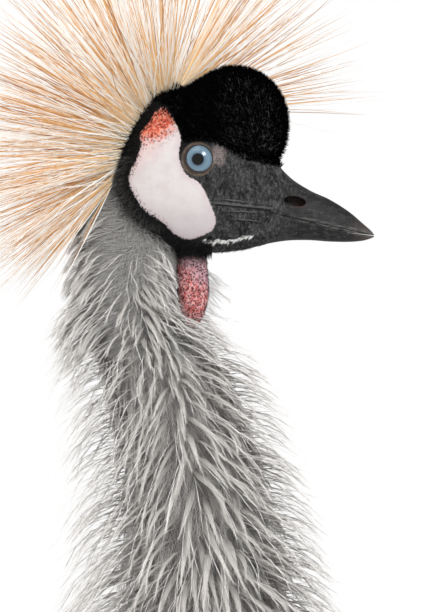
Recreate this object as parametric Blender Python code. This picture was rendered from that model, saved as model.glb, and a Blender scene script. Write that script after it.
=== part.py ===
"""Grey crowned crane, life size, standing alert with its head in profile.

Metres, +Z up, +X towards the bill. The origin is on the floor under the middle of
the bird's bounding box. Body stations are written in millimetres from the middle
of the eyes, because the head fixes the scale of everything else.
"""

import math

import bmesh
import bpy
import numpy as np
from mathutils import Vector

MM = 0.001

# Where the middle of the two eyes is, above the floor and ahead of the origin.
EYE_AHEAD = 0.175
EYE_HEIGHT = 0.955

# Clearance between touching nodes.
GAP = 0.3 * MM

# Eyes: a flattened ball each, in an opening with a thin lid rim.
EYE_RADIUS = 11.0 * MM
EYE_DEPTH = 8.0 * MM
EYE_OUT = 11.5 * MM
LID_RADIUS = 8.3 * MM
LID_THICK = 1.3 * MM

# Feathers and bristles.
HACKLE_ROWS = 10
HACKLES_IN_ROW = 9
HACKLE_THICK = 1.1 * MM
# Down the neck, as share of its length: how far a hackle stands out, and how long it is.
HACKLE_LIFT = ((0.2, 0.80), (0.6, 0.82), (0.8, 0.62), (1.0, 0.45))
HACKLE_LENGTH = ((0.2, 32.0), (0.35, 48.0), (0.6, 60.0), (0.9, 78.0))
BRISTLE_TRIES = 240
FORWARD_BRISTLES = 18
BRISTLE_LENGTH = 104.0 * MM
BRISTLE_THICK = 1.5 * MM
VANE_THICK = 1.2 * MM
TAIL_FEATHERS = 7

# Legs and feet.
SCUTES = 9
TOE_PADS = 3

# Colours of the finishes, as linear RGB with roughness.
FINISHES = {
    "velvet": ((0.006, 0.006, 0.007), 0.95),
    "bill": ((0.035, 0.036, 0.038), 0.45),
    "face": ((0.030, 0.031, 0.033), 0.80),
    "cheek": ((0.80, 0.74, 0.73), 0.55),
    "iris": ((0.20, 0.33, 0.46), 0.12),
    "wattle": ((0.62, 0.12, 0.10), 0.60),
    "bristle": ((0.66, 0.43, 0.19), 0.60),
    "neck": ((0.42, 0.42, 0.41), 0.85),
    "slate": ((0.22, 0.23, 0.24), 0.85),
    "wing": ((0.78, 0.75, 0.68), 0.75),
    "tail": ((0.020, 0.020, 0.022), 0.70),
    "leg": ((0.030, 0.030, 0.032), 0.55),
    "claw": ((0.015, 0.015, 0.015), 0.35),
}

# Stations of a swept body: x and z of the centre, reach above (or ahead), reach below
# (or behind) and reach to each side, all in millimetres from the eyes.
NECK_STATIONS = (
    (-30, -14, 12, 14, 9.5),
    (-33, -32, 20, 21, 15.5),
    (-33, -51, 24, 25, 22),
    (-28, -73, 25, 27, 25),
    (-20, -97, 27, 29, 27),
    (-11, -126, 29, 31, 29),
    (-2, -162, 31, 33, 31),
    (5, -200, 33, 36, 34),
    (10, -235, 35, 39, 37),
    (13, -270, 38, 42, 40),
    (11, -303, 41, 46, 44),
    (4, -335, 43, 50, 48),
    (-12, -366, 44, 50, 50),
)
TORSO_STATIONS = (
    (34, -352, 12, 14, 12),
    (22, -362, 40, 44, 36),
    (-4, -378, 62, 72, 56),
    (-46, -400, 82, 92, 74),
    (-100, -424, 94, 99, 84),
    (-160, -448, 90, 90, 80),
    (-216, -470, 72, 70, 64),
    (-262, -488, 46, 46, 42),
    (-292, -502, 16, 18, 16),
)
# The surface that the folded wings lie on: it wraps the torso and runs on past the rump.
MANTLE_STATIONS = (
    (20, -352, 44, 48, 40),
    (-4, -372, 70, 76, 66),
    (-50, -400, 92, 98, 86),
    (-104, -425, 103, 104, 95),
    (-164, -450, 99, 96, 92),
    (-224, -476, 88, 84, 84),
    (-284, -506, 74, 70, 72),
    (-340, -540, 60, 58, 60),
    (-392, -574, 46, 44, 46),
    (-440, -606, 30, 28, 30),
)
# Head and bill: x, top and bottom lines, half width, height of the widest level, and
# the roundness of the upper and lower halves, where 2 is an ellipse.
HEAD_STATIONS = (
    (-43.4, -12.0, -18.0, 3.0, -15.0, 2.0, 2.0),
    (-41.6, -3.0, -27.0, 8.5, -14.0, 2.0, 2.0),
    (-38.0, 9.0, -34.0, 12.5, -10.0, 2.1, 2.1),
    (-30.2, 20.5, -40.0, 16.0, -7.0, 2.2, 2.2),
    (-17.2, 29.5, -44.5, 18.0, -5.0, 2.3, 2.2),
    (-4.0, 33.0, -46.8, 18.3, -4.0, 2.3, 2.1),
    (9.0, 32.0, -47.5, 17.3, -5.0, 2.2, 2.1),
    (22.0, 25.0, -46.2, 14.8, -8.0, 2.1, 2.1),
    (32.0, 14.0, -44.0, 12.6, -13.0, 2.0, 2.1),
    (40.0, 0.5, -42.3, 10.9, -20.0, 1.9, 2.1),
    (48.0, -8.6, -41.3, 9.6, -25.5, 1.8, 2.1),
    (58.0, -15.2, -41.2, 8.2, -29.5, 1.8, 2.1),
    (68.0, -19.8, -41.9, 6.6, -33.0, 1.8, 2.1),
    (78.0, -26.0, -42.1, 4.7, -36.0, 1.8, 2.0),
    (85.5, -32.3, -41.5, 2.7, -38.2, 1.9, 2.0),
    (90.0, -36.3, -40.2, 1.1, -38.7, 2.0, 2.0),
    (91.5, -38.2, -39.4, 0.4, -38.8, 2.0, 2.0),
)
HEAD_SIDES = 18
HEAD_RINGS = 23
# The mouth line, from the gape below the eye to the tip, and where the bill begins.
MOUTH_LINE = ((12.5, -24.2), (26.0, -24.6), (36.4, -26.6), (46.6, -29.2), (56.9, -31.7),
              (67.2, -34.8), (77.5, -37.2), (92.5, -38.9))
BILL_BASE_TOP = (43.5, 4.0)
BILL_BASE_BOTTOM = (33.0, -52.0)
NOSTRIL_PLACE = (50.2, -21.2)
NOSTRIL_HALF = (5.4, 2.3)
NOSTRIL_TILT = math.radians(-8)
# The velvet cushion: its outline round CAP_CENTRE, as angle in degrees and reach.
CAP_CENTRE = (17.5, 19.0)
CAP_REACH = ((-180, 37), (-150, 30), (-110, 26), (-80, 26), (-55, 28), (-38, 33), (-15, 31),
             (0, 31), (20, 31.5), (45, 32), (70, 32), (95, 31.5), (115, 30), (135, 30),
             (150, 34), (165, 39), (180, 37))
CAP_HALF_WIDTH = 20.0 * MM
# The lower edge of the velvet over the brow, from the nape end to the bill.
CAP_EDGE = ((-23.0, 34.5), (-18.5, 33.0), (-14.0, 26.0), (-9.3, 17.0), (-5.5, 12.2),
            (4.0, 11.2), (13.5, 5.6), (22.0, 0.4), (33.0, -2.4), (40.5, -3.4), (60.0, -6.0))
# What is cut from the neck's back where the wings meet over it.
NECK_BACK_CUT = ((-31, -311), (-90, -300), (-90, -420), (-31, -420))
# The line behind which the neck's feathers begin, from the nape round to the throat.
NAPE_LINE = ((-36.6, 13.5), (-38.6, 0.0), (-43.8, -12.0), (-45.2, -20.0), (-41.0, -31.7),
             (-26.0, -41.5), (-13.0, -46.5), (-8.6, -52.0))
# The bare white cheek, as corners of its smooth outline.
CHEEK_OUTLINE = ((-18.0, 27.5), (-10.8, 17.5), (-8.6, 10.0), (-9.6, 1.0), (-5.6, -7.8),
                 (1.2, -12.4), (5.6, -20.4), (9.4, -31.4), (6.4, -37.2), (-3.0, -41.0),
                 (-11.0, -39.4), (-18.4, -32.6), (-27.6, -26.4), (-34.4, -16.0),
                 (-35.8, -8.0), (-32.0, 0.4), (-29.6, 8.4), (-30.4, 13.0), (-25.6, 19.6))
CHEEK_THICK = 1.1 * MM
# The crest's root pad on the nape.
PAD_CENTRE = (-24.0, 15.5)
PAD_HALF = (27.0, 13.0, 13.0)
PAD_TILT = math.radians(57)
# The pad's two shoulders, beside the back of the velvet.
SHOULDER_PLACE = (-16.0, 11.5, 25.5)
SHOULDER_HALF = (12.0, 5.5, 8.0)
# The red throat wattle, as stations down its length.
WATTLE_STATIONS = (
    (-5.0, -40.0, 5.0, 5.0, 4.5),
    (-4.0, -48.0, 8.0, 7.2, 6.6),
    (-3.4, -58.0, 8.4, 7.6, 7.2),
    (-3.0, -68.0, 8.6, 7.6, 7.4),
    (-3.2, -77.0, 7.2, 6.4, 6.2),
    (-3.6, -84.0, 4.4, 4.0, 3.6),
    (-3.8, -87.0, 1.2, 1.2, 1.0),
)
# One leg, as stations with x, y and z in millimetres from the eyes, and its radii.
THIGH_STATIONS = (
    (-84, 38, -448, 34, 20),
    (-92, 41, -490, 38, 26),
    (-102, 43, -530, 33, 25),
    (-113, 45, -570, 23, 19),
    (-123, 46, -608, 15, 13.5),
    (-130, 47, -640, 10, 9.4),
)
SHANK_STATIONS = (
    (-128.0, 46.8, -632, 6.4, 6.2),
    (-134.0, 47.2, -656, 6.6, 6.0),
    (-139.5, 47.6, -684, 6.4, 5.8),
    (-144.5, 48.0, -712, 7.2, 6.8),
    (-147.5, 48.2, -730, 10.0, 9.2),
    (-148.5, 48.3, -742, 11.0, 10.0),
    (-147.6, 48.4, -753, 9.6, 9.0),
)
TARSUS_TOP = (-147.2, 48.4, -753)
TARSUS_FOOT = (-112.0, 50.0, -944)
TARSUS_RADII = ((0.0, 9.4, 8.8), (0.06, 7.4, 6.4), (0.2, 5.8, 4.9), (0.5, 5.4, 4.5),
                (0.8, 5.6, 4.8), (0.93, 6.6, 6.2), (1.0, 6.4, 7.0))
# Toes: name, heading in degrees outwards from straight ahead, length and root radius.
TOES = (("inner", -36, 66, 5.4), ("middle", 4, 86, 5.8), ("outer", 42, 70, 5.4),
        ("hind", 176, 36, 4.2))
TOE_ROOT_LIFT = 3.5
# Headings, in degrees outwards, of the lines that part neighbouring toes at the knuckle.
TOE_PARTINGS = {"inner": (-110, -16), "middle": (-16, 23), "outer": (23, 110),
                "hind": (110, 250)}
CLAW_LENGTH = 10.5


def place(x, y, z):
    """A point given in millimetres from the eyes, in the row frame in metres."""
    return Vector((EYE_AHEAD + x * MM, y * MM, EYE_HEIGHT + z * MM))


def curve_through(knots, share):
    """The Catmull-Rom curve through rows of knots, at 0 to 1 of their number."""
    rows = np.asarray(knots, float)
    last = len(rows) - 1
    at = min(max(share, 0.0), 1.0) * last
    low = min(int(at), last - 1)
    t = at - low
    before = rows[low - 1] if low else 2 * rows[0] - rows[1]
    after = rows[low + 2] if low + 2 <= last else 2 * rows[last] - rows[last - 1]
    a, b = rows[low], rows[low + 1]
    return 0.5 * (2 * a + (b - before) * t + (2 * before - 5 * a + 4 * b - after) * t * t
                  + (3 * a - before - 3 * b + after) * t ** 3)


def value_at(knots, x):
    """The value on straight lines between (place, value) knots."""
    places, values = zip(*knots)
    return float(np.interp(x, places, values))


class PlaneSweep:
    """A body swept along a centreline in the mirror plane, with oval sections."""

    def __init__(self, stations):
        self.stations = stations

    def axes(self, share):
        """Centre, direction along, direction of the first reach, and side."""
        step = 0.01
        here = curve_through(self.stations, share)
        low = curve_through(self.stations, share - step if share > step else 0.0)
        high = curve_through(self.stations, share + step if share < 1 - step else 1.0)
        along = Vector((high[0] - low[0], 0, high[1] - low[1])).normalized()
        side = Vector((0, 1, 0))
        ahead = side.cross(along)
        ahead *= 1 if ahead.z + ahead.x > 0 else -1
        return place(here[0], 0, here[1]), along, ahead, side, here[2:]

    def point(self, share, angle, grow=0.0):
        """A point on the surface: angle 0 is ahead or above, 90 degrees is at +Y."""
        centre, _, ahead, side, reach = self.axes(share)
        first = reach[0] if math.cos(angle) > 0 else reach[1]
        return (centre + ahead * (first * MM + grow) * math.cos(angle)
                + side * (reach[2] * MM + grow) * math.sin(angle))

    def outward(self, share, angle):
        """The outward direction of the surface there."""
        small = 0.01
        across = self.point(share, angle + small) - self.point(share, angle - small)
        low, high = max(share - small, 0.0), min(share + small, 1.0)
        along = self.point(high, angle) - self.point(low, angle)
        normal = across.cross(along).normalized()
        centre = self.axes(share)[0]
        return normal if normal.dot(self.point(share, angle) - centre) > 0 else -normal

    def rings(self, lengths, sides, grow=0.0):
        """Rings of points, spread evenly along and around, the end ones grown outwards."""
        rings = [[self.point(i / lengths, 2 * math.pi * k / sides, grow)
                  for k in range(sides)] for i in range(lengths + 1)]
        for ring, share, way in ((0, 0.0, -1), (-1, 1.0, 1)):
            push = self.axes(share)[1] * (grow * way)
            rings[ring] = [p + push for p in rings[ring]]
        return rings


def new_object(name, points, faces, finish=None):
    """A mesh object from points and faces, turned so that its faces point outwards."""
    mesh = bpy.data.meshes.new(name)
    mesh.from_pydata([tuple(p) for p in points], [], faces)
    form = bmesh.new()
    form.from_mesh(mesh)
    bmesh.ops.recalc_face_normals(form, faces=form.faces)
    if form.calc_volume(signed=True) < 0:
        bmesh.ops.reverse_faces(form, faces=form.faces)
    form.to_mesh(mesh)
    form.free()
    body = bpy.data.objects.new(name, mesh)
    bpy.context.scene.collection.objects.link(body)
    if finish:
        dress(body, finish)
    return body


def dress(body, finish):
    """Gives an object the named finish as its only material."""
    material = bpy.data.materials.get(finish)
    if material is None:
        colour, roughness = FINISHES[finish]
        material = bpy.data.materials.new(finish)
        material.use_nodes = True
        shader = material.node_tree.nodes["Principled BSDF"]
        shader.inputs["Base Color"].default_value = (*colour, 1.0)
        shader.inputs["Roughness"].default_value = roughness
    body.data.materials.clear()
    body.data.materials.append(material)


def skin_rings(name, rings, finish=None):
    """A closed body over rings of equal length, with a middle point closing each end."""
    sides = len(rings[0])
    points = [p for ring in rings for p in ring]
    faces = []
    for i in range(len(rings) - 1):
        for k in range(sides):
            a, b = i * sides + k, i * sides + (k + 1) % sides
            c, d = b + sides, a + sides
            # The two halves are split along mirrored diagonals.
            if 2 * k < sides:
                faces += [(a, b, c), (a, c, d)]
            else:
                faces += [(a, b, d), (b, c, d)]
    for first, ring in ((0, rings[0]), (len(points) - sides, rings[-1])):
        points.append(sum((Vector(p) for p in ring), Vector()) / sides)
        faces += [(first + k, first + (k + 1) % sides, len(points) - 1)
                  for k in range(sides)]
    return new_object(name, points, faces, finish)


def blade(path, sides, faces_up, widths, thick):
    """A tapered vane: three-sided sections along a path, closed to a point at its tip."""
    points, faces = [], []
    last = len(path) - 1
    for i in range(last):
        half = sides[i] * (widths[i] / 2)
        points += [path[i] + half, path[i] - half, path[i] + faces_up[i] * thick]
    points.append(path[last])
    for i in range(last - 1):
        for k in range(3):
            a, b = 3 * i + k, 3 * i + (k + 1) % 3
            faces += [(a, b, b + 3), (a, b + 3, a + 3)]
    faces += [(3 * last - 3 + k, 3 * last - 3 + (k + 1) % 3, 3 * last) for k in range(3)]
    faces.append((2, 1, 0))
    return new_object("vane", points, faces)


def bend(root, start, end, length, steps):
    """A path whose heading turns evenly from start to end."""
    path = [root]
    for i in range(steps):
        heading = start.lerp(end, (i + 0.5) / steps).normalized()
        path.append(path[-1] + heading * (length / steps))
    return path


def evaluated_copy(body):
    """Applies every modifier of a body."""
    graph = bpy.context.evaluated_depsgraph_get()
    mesh = bpy.data.meshes.new_from_object(body.evaluated_get(graph))
    old = body.data
    body.modifiers.clear()
    body.data = mesh
    bpy.data.meshes.remove(old)


def combine(body, tools, operation, solver="EXACT"):
    """Joins a body with the tools, or cuts it by them, and removes the tools."""
    group = bpy.data.collections.new("tools")
    bpy.context.scene.collection.children.link(group)
    for tool in tools:
        bpy.context.scene.collection.objects.unlink(tool)
        group.objects.link(tool)
    modifier = body.modifiers.new("combine", "BOOLEAN")
    modifier.operation = operation
    modifier.solver = solver
    modifier.operand_type = "COLLECTION"
    modifier.collection = group
    evaluated_copy(body)
    for tool in tools:
        mesh = tool.data
        bpy.data.objects.remove(tool)
        bpy.data.meshes.remove(mesh)
    bpy.data.collections.remove(group)
    return body


def keep_largest(body):
    """Leaves only the closed surface that holds the most."""
    form = bmesh.new()
    form.from_mesh(body.data)
    bmesh.ops.triangulate(form, faces=form.faces)
    unseen = set(form.verts)
    best, best_volume = set(), -1.0
    while unseen:
        first = unseen.pop()
        island, edge_of_search = {first}, [first]
        while edge_of_search:
            for edge in edge_of_search.pop().link_edges:
                for vert in edge.verts:
                    if vert in unseen:
                        unseen.remove(vert)
                        island.add(vert)
                        edge_of_search.append(vert)
        volume = abs(sum(
            f.verts[0].co.dot(f.verts[1].co.cross(f.verts[2].co)) / 6
            for f in {face for vert in island for face in vert.link_faces}))
        if volume > best_volume:
            best, best_volume = island, volume
    bmesh.ops.delete(form, geom=[v for v in form.verts if v not in best], context="VERTS")
    form.to_mesh(body.data)
    form.free()
    return body


def prism(outline, low_y, high_y):
    """An outline of (x, z) in millimetres from the eyes, run between two y places."""
    count = len(outline)
    points = [place(x, 0, z) + Vector((0, y, 0)) for y in (low_y, high_y) for x, z in outline]
    faces = [tuple(range(count)), tuple(range(count, 2 * count))]
    faces += [(k, (k + 1) % count, count + (k + 1) % count, count + k) for k in range(count)]
    return new_object("prism", points, faces)


def oval_ball(centre, half, tilt=0.0, rings=10, sides=14):
    """An ellipsoid, tilted in the mirror plane about its middle."""
    points = []
    for i in range(rings + 1):
        polar = math.pi * i / rings
        for k in range(sides if 0 < i < rings else 1):
            turn = 2 * math.pi * k / sides
            x = half[0] * math.cos(polar)
            y = half[1] * math.sin(polar) * math.cos(turn)
            z = half[2] * math.sin(polar) * math.sin(turn)
            points.append(centre + Vector((x * math.cos(tilt) - z * math.sin(tilt), y,
                                           x * math.sin(tilt) + z * math.cos(tilt))))
    faces = [(0, 1 + k, 1 + (k + 1) % sides) for k in range(sides)]
    for i in range(rings - 2):
        first = 1 + i * sides
        faces += [(first + k, first + (k + 1) % sides, first + sides + (k + 1) % sides,
                   first + sides + k) for k in range(sides)]
    end = len(points) - 1
    faces += [(end, end - sides + k, end - sides + (k + 1) % sides) for k in range(sides)]
    return new_object("ball", points, faces)


def oval_coin(x, z, y, half, tilt, length):
    """An oval pin along Y, for openings in the head's side."""
    sides = 14
    outline = []
    for k in range(sides):
        turn = 2 * math.pi * k / sides
        along, across = half[0] * math.cos(turn), half[1] * math.sin(turn)
        outline.append((x + along * math.cos(tilt) - across * math.sin(tilt),
                        z + along * math.sin(tilt) + across * math.cos(tilt)))
    return prism(outline, y, y + length)


def head_row(x):
    """Top, bottom, half width, widest level and roundness of the head at x."""
    rows = HEAD_STATIONS
    places = [row[0] for row in rows]
    share = float(np.interp(x, places, np.linspace(0, 1, len(rows))))
    return curve_through(rows, share)


def head_form(name, grow=0.0):
    """The whole head and bill as one closed body, grown all round by some millimetres."""
    rings = []
    for i in range(HEAD_RINGS):
        x, top, bottom, half, level, upper, lower = curve_through(
            HEAD_STATIONS, i / (HEAD_RINGS - 1))
        ring = []
        for k in range(HEAD_SIDES):
            turn = 2 * math.pi * k / HEAD_SIDES
            c, s = math.sin(turn), math.cos(turn)
            power = upper if s > 0 else lower
            rise = (top - level + grow) if s > 0 else (level - bottom + grow)
            y = (half + grow) * math.copysign(abs(c) ** (2 / power), c)
            z = level + rise * math.copysign(abs(s) ** (2 / power), s)
            ring.append(place(x, y, z))
        rings.append(ring)
    if grow:
        rings = [[p - Vector((grow * MM, 0, 0)) for p in rings[0]]] + rings
        rings.append([p + Vector((grow * MM, 0, 0)) for p in rings[-1]])
    return skin_rings(name, rings)


def eye_ball(side, grow=0.0):
    """One eye, or its socket when grown."""
    centre = place(0, 0, 0) + Vector((0, side * EYE_OUT, 0))
    half = (EYE_DEPTH + grow, EYE_RADIUS + grow, EYE_RADIUS + grow)
    ball = oval_ball(Vector(), half, rings=9, sides=14)
    for vert in ball.data.vertices:
        x, y, z = vert.co
        vert.co = centre + Vector((y, side * x, z))
    ball.data.update()
    return new_like(ball)


def new_like(body):
    """The same mesh made again, so that its faces point outwards."""
    points = [v.co.copy() for v in body.data.vertices]
    faces = [tuple(p.vertices) for p in body.data.polygons]
    mesh = body.data
    bpy.data.objects.remove(body)
    bpy.data.meshes.remove(mesh)
    return new_object("ball", points, faces)


def lid_ring(side):
    """The raised rim of the eyelids."""
    sides, around = 4, 18
    rings = []
    for k in range(around):
        turn = 2 * math.pi * k / around
        radial = Vector((math.cos(turn), 0, math.sin(turn)))
        # The rim leans with the side of the head, lower at the front and the brow.
        out = 17.4 - 1.3 * math.cos(turn) - 0.8 * math.sin(turn)
        middle = place(0, side * out, 0) + radial * LID_RADIUS
        rings.append([middle + radial * (LID_THICK * math.cos(2 * math.pi * j / sides))
                      + Vector((0, LID_THICK * math.sin(2 * math.pi * j / sides), 0))
                      for j in range(sides)])
    points = [p for ring in rings for p in ring]
    faces = [(i * sides + j, i * sides + (j + 1) % sides,
              ((i + 1) % around) * sides + (j + 1) % sides, ((i + 1) % around) * sides + j)
             for i in range(around) for j in range(sides)]
    return new_object("lid", points, faces)


def bill_line(clear):
    """The bill's base line moved along X by some millimetres, low point first."""
    return ((BILL_BASE_BOTTOM[0] + clear, BILL_BASE_BOTTOM[1]),
            (BILL_BASE_TOP[0] + clear, BILL_BASE_TOP[1]))


def face_zone(clear):
    """A prism over everything in front of the nape line, short of it by some millimetres."""
    line = tuple((x - 0.7 * clear, z - 0.7 * clear) for x, z in NAPE_LINE)
    corners = ((60, line[-1][1]), (60, 60), (line[0][0], 60))
    return prism(line + corners, -0.05, 0.05)


def neck_core(name, grow=0.0):
    """The neck without its hackles."""
    return skin_rings(name, PlaneSweep(NECK_STATIONS).rings(15, 14, grow))


def nape_collar(grow=0.0):
    """The part of the head that widens into the neck, in front of the nape line."""
    return combine(neck_core("nape", grow), [face_zone((grow - GAP / 2) / MM)], "INTERSECT")


def build_head():
    """The skull and face with lid rims, eye sockets and the gape behind the bill."""
    head = head_form("head")
    combine(head, [nape_collar()], "UNION")
    behind = ((-60, -70),) + bill_line(-0.15) + ((43.5, 60), (-60, 60))
    combine(head, [prism(behind, -0.05, 0.05)], "INTERSECT")
    combine(head, [lid_ring(side) for side in (-1, 1)], "UNION")
    gape = tuple((x, z + 0.35) for x, z in MOUTH_LINE[:4]) + tuple(
        (x, z - 0.35) for x, z in reversed(MOUTH_LINE[:4]))
    cutters = [eye_ball(side, GAP) for side in (-1, 1)]
    cutters += [prism(gape, 9.5 * MM, 0.03), prism(gape, -0.03, -9.5 * MM)]
    combine(head, cutters, "DIFFERENCE")
    keep_largest(head)
    dress(head, "face")
    return head


def build_bill():
    """The two halves of the bill, parted along the mouth line, with open nostrils."""
    line = MOUTH_LINE[2:]
    upper = head_form("upper_bill")
    above = tuple((x, z + 0.15) for x, z in ((28.0, -24.8),) + line) + ((96, 10), (28, 10))
    ahead = bill_line(0.15) + ((43.65, 30), (110, 30), (110, -70), (33.15, -70))
    combine(upper, [prism(ahead, -0.05, 0.05)], "INTERSECT")
    combine(upper, [prism(above, -0.05, 0.05)], "INTERSECT")
    nostrils = [oval_coin(*NOSTRIL_PLACE, y, NOSTRIL_HALF, NOSTRIL_TILT, 10 * MM)
                for y in (0.8 * MM, -10.8 * MM)]
    combine(upper, nostrils, "DIFFERENCE")
    keep_largest(upper)
    dress(upper, "bill")
    lower = head_form("lower_bill")
    below = tuple((x, z - 0.15) for x, z in ((28.0, -24.8),) + line) + ((96, -70), (28, -70))
    combine(lower, [prism(ahead, -0.05, 0.05)], "INTERSECT")
    combine(lower, [prism(below, -0.05, 0.05)], "INTERSECT")
    keep_largest(lower)
    dress(lower, "bill")


def build_eyes():
    """The two eyes, each one smooth ball in its socket."""
    for side, name in ((-1, "eye_right"), (1, "eye_left")):
        eye = eye_ball(side)
        eye.name = name
        dress(eye, "iris")


def cap_form(grow=0.0):
    """The velvet cushion's full rounded form round CAP_CENTRE."""
    rings = []
    turns, arcs = 24, 7
    for i in range(1, arcs):
        lift = math.pi * i / arcs - math.pi / 2
        ring = []
        for k in range(turns):
            angle = -180 + 360 * k / turns
            reach = value_at(CAP_REACH, angle) + grow
            flat = reach * math.cos(lift) ** 0.8
            x = CAP_CENTRE[0] + flat * math.cos(math.radians(angle))
            z = CAP_CENTRE[1] + flat * math.sin(math.radians(angle))
            ring.append(place(x, (CAP_HALF_WIDTH / MM + grow) * math.sin(lift), z))
        rings.append(ring)
    return skin_rings("cap", rings)


def build_cap():
    """The black velvet forehead, shaped by its brow line and hollowed by the skull."""
    cap = cap_form()
    cap.name = "forehead_velvet"
    above = CAP_EDGE + ((60, 60), (-23, 60))
    combine(cap, [prism(above, -0.05, 0.05)], "INTERSECT")
    combine(cap, [head_form("skull", GAP / MM)], "DIFFERENCE")
    keep_largest(cap)
    dress(cap, "velvet")


def rounded(outline, per_corner=2):
    """A closed outline of corners, smoothed through them."""
    count = len(outline)
    smooth = []
    for i in range(count):
        four = [np.array(outline[(i + j) % count], float) for j in (-1, 0, 1, 2)]
        for k in range(per_corner):
            t = k / per_corner
            a, b, c, d = four
            smooth.append(0.5 * (2 * b + (c - a) * t + (2 * a - 5 * b + 4 * c - d) * t * t
                                 + (3 * b - a - 3 * c + d) * t ** 3))
    return [tuple(p) for p in smooth]


def widened(outline, by):
    """An outline with every corner moved outwards by some millimetres."""
    count = len(outline)
    area = sum(outline[i - 1][0] * outline[i][1] - outline[i][0] * outline[i - 1][1]
               for i in range(count))
    moved = []
    for i, (x, z) in enumerate(outline):
        before, after = outline[i - 1], outline[(i + 1) % count]
        along = Vector((after[0] - before[0], after[1] - before[1])).normalized()
        turn = 1 if area > 0 else -1
        moved.append((x + turn * along.y * by, z - turn * along.x * by))
    return moved


def cheek_form(name, side, clear=0.0):
    """The bare cheek with the skull still inside it, grown by some millimetres."""
    cheek = head_form(name, CHEEK_THICK / MM + clear)
    ends = sorted((side * 5 * MM, side * 30 * MM))
    outline = widened(rounded(CHEEK_OUTLINE), clear)
    return combine(cheek, [prism(outline, *ends)], "INTERSECT")


def build_cheeks():
    """The bare white cheek patches, raised a little on the sides of the head."""
    for side, name in ((-1, "cheek_right"), (1, "cheek_left")):
        cheek = cheek_form(name, side)
        eye_hole = oval_coin(0, 0, side * 20 * MM - 20 * MM, (10.1, 10.1), 0, 40 * MM)
        combine(cheek, [head_form("skull", GAP / MM), eye_hole], "DIFFERENCE")
        keep_largest(cheek)
        dress(cheek, "cheek")


def in_cap(point, clear):
    """Whether a point is inside the velvet's form grown by some millimetres."""
    x, y, z = (point - place(0, 0, 0)) / MM
    dx, dz = x - CAP_CENTRE[0], z - CAP_CENTRE[1]
    reach = value_at(CAP_REACH, math.degrees(math.atan2(dz, dx))) + clear
    return (math.hypot(dx, dz) / reach) ** 2 + (y / (CAP_HALF_WIDTH / MM + clear)) ** 2 < 1


def in_head(point, clear):
    """Whether a point is inside the head grown by some millimetres."""
    x, y, z = (point - place(0, 0, 0)) / MM
    if not HEAD_STATIONS[0][0] - clear < x < HEAD_STATIONS[-1][0]:
        return False
    _, top, bottom, half, level, upper, _ = head_row(x)
    rise = top - level + clear if z > level else level - bottom + clear
    return abs(y / (half + clear)) ** upper + abs((z - level) / rise) ** upper < 1


def in_neck(point, clear):
    """Whether a point is inside the neck's core grown by some millimetres."""
    neck = PlaneSweep(NECK_STATIONS)
    for i in range(13):
        centre, _, _, _, reach = neck.axes(i / 24)
        if (point - centre).length < (max(reach) + clear) * MM:
            return True
    return False


def bristle_headings():
    """Even steps over a ball, then a spray that leans forward on the far side."""
    headings = []
    for i in range(BRISTLE_TRIES):
        level = 1 - 2 * (i + 0.5) / BRISTLE_TRIES
        turn = math.pi * (3 - math.sqrt(5)) * i
        flat = math.sqrt(1 - level * level)
        headings.append((Vector((flat * math.cos(turn), level, flat * math.sin(turn))), False))
    for i in range(FORWARD_BRISTLES):
        turn = math.radians(16 + 48 * i / (FORWARD_BRISTLES - 1))
        aside = (0.42, 0.52, 0.46, 0.60)[i % 4]
        headings.append((Vector((math.cos(turn), aside, math.sin(turn))).normalized(), True))
    return headings


def stands_clear(path, heading):
    """Whether a bristle clears the head, velvet and neck, and leaves the near face open."""
    for share in (0.1, 0.18, 0.26, 0.36, 0.5, 0.65, 0.8, 1.0):
        point = path[0].lerp(path[-1], share)
        if in_cap(point, 1.0) or in_neck(point, 3.0):
            return False
        if share > 0.1 and in_head(point, 1.5):
            return False
        x, _, z = (point - place(0, 0, 0)) / MM
        if heading.y < 0.12 and share > 0.3 and x > -6 + 0.28 * max(z - 30, 0):
            return False
    angle = math.degrees(math.atan2(heading.z, heading.x)) % 360
    return 12 < angle < 246


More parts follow.
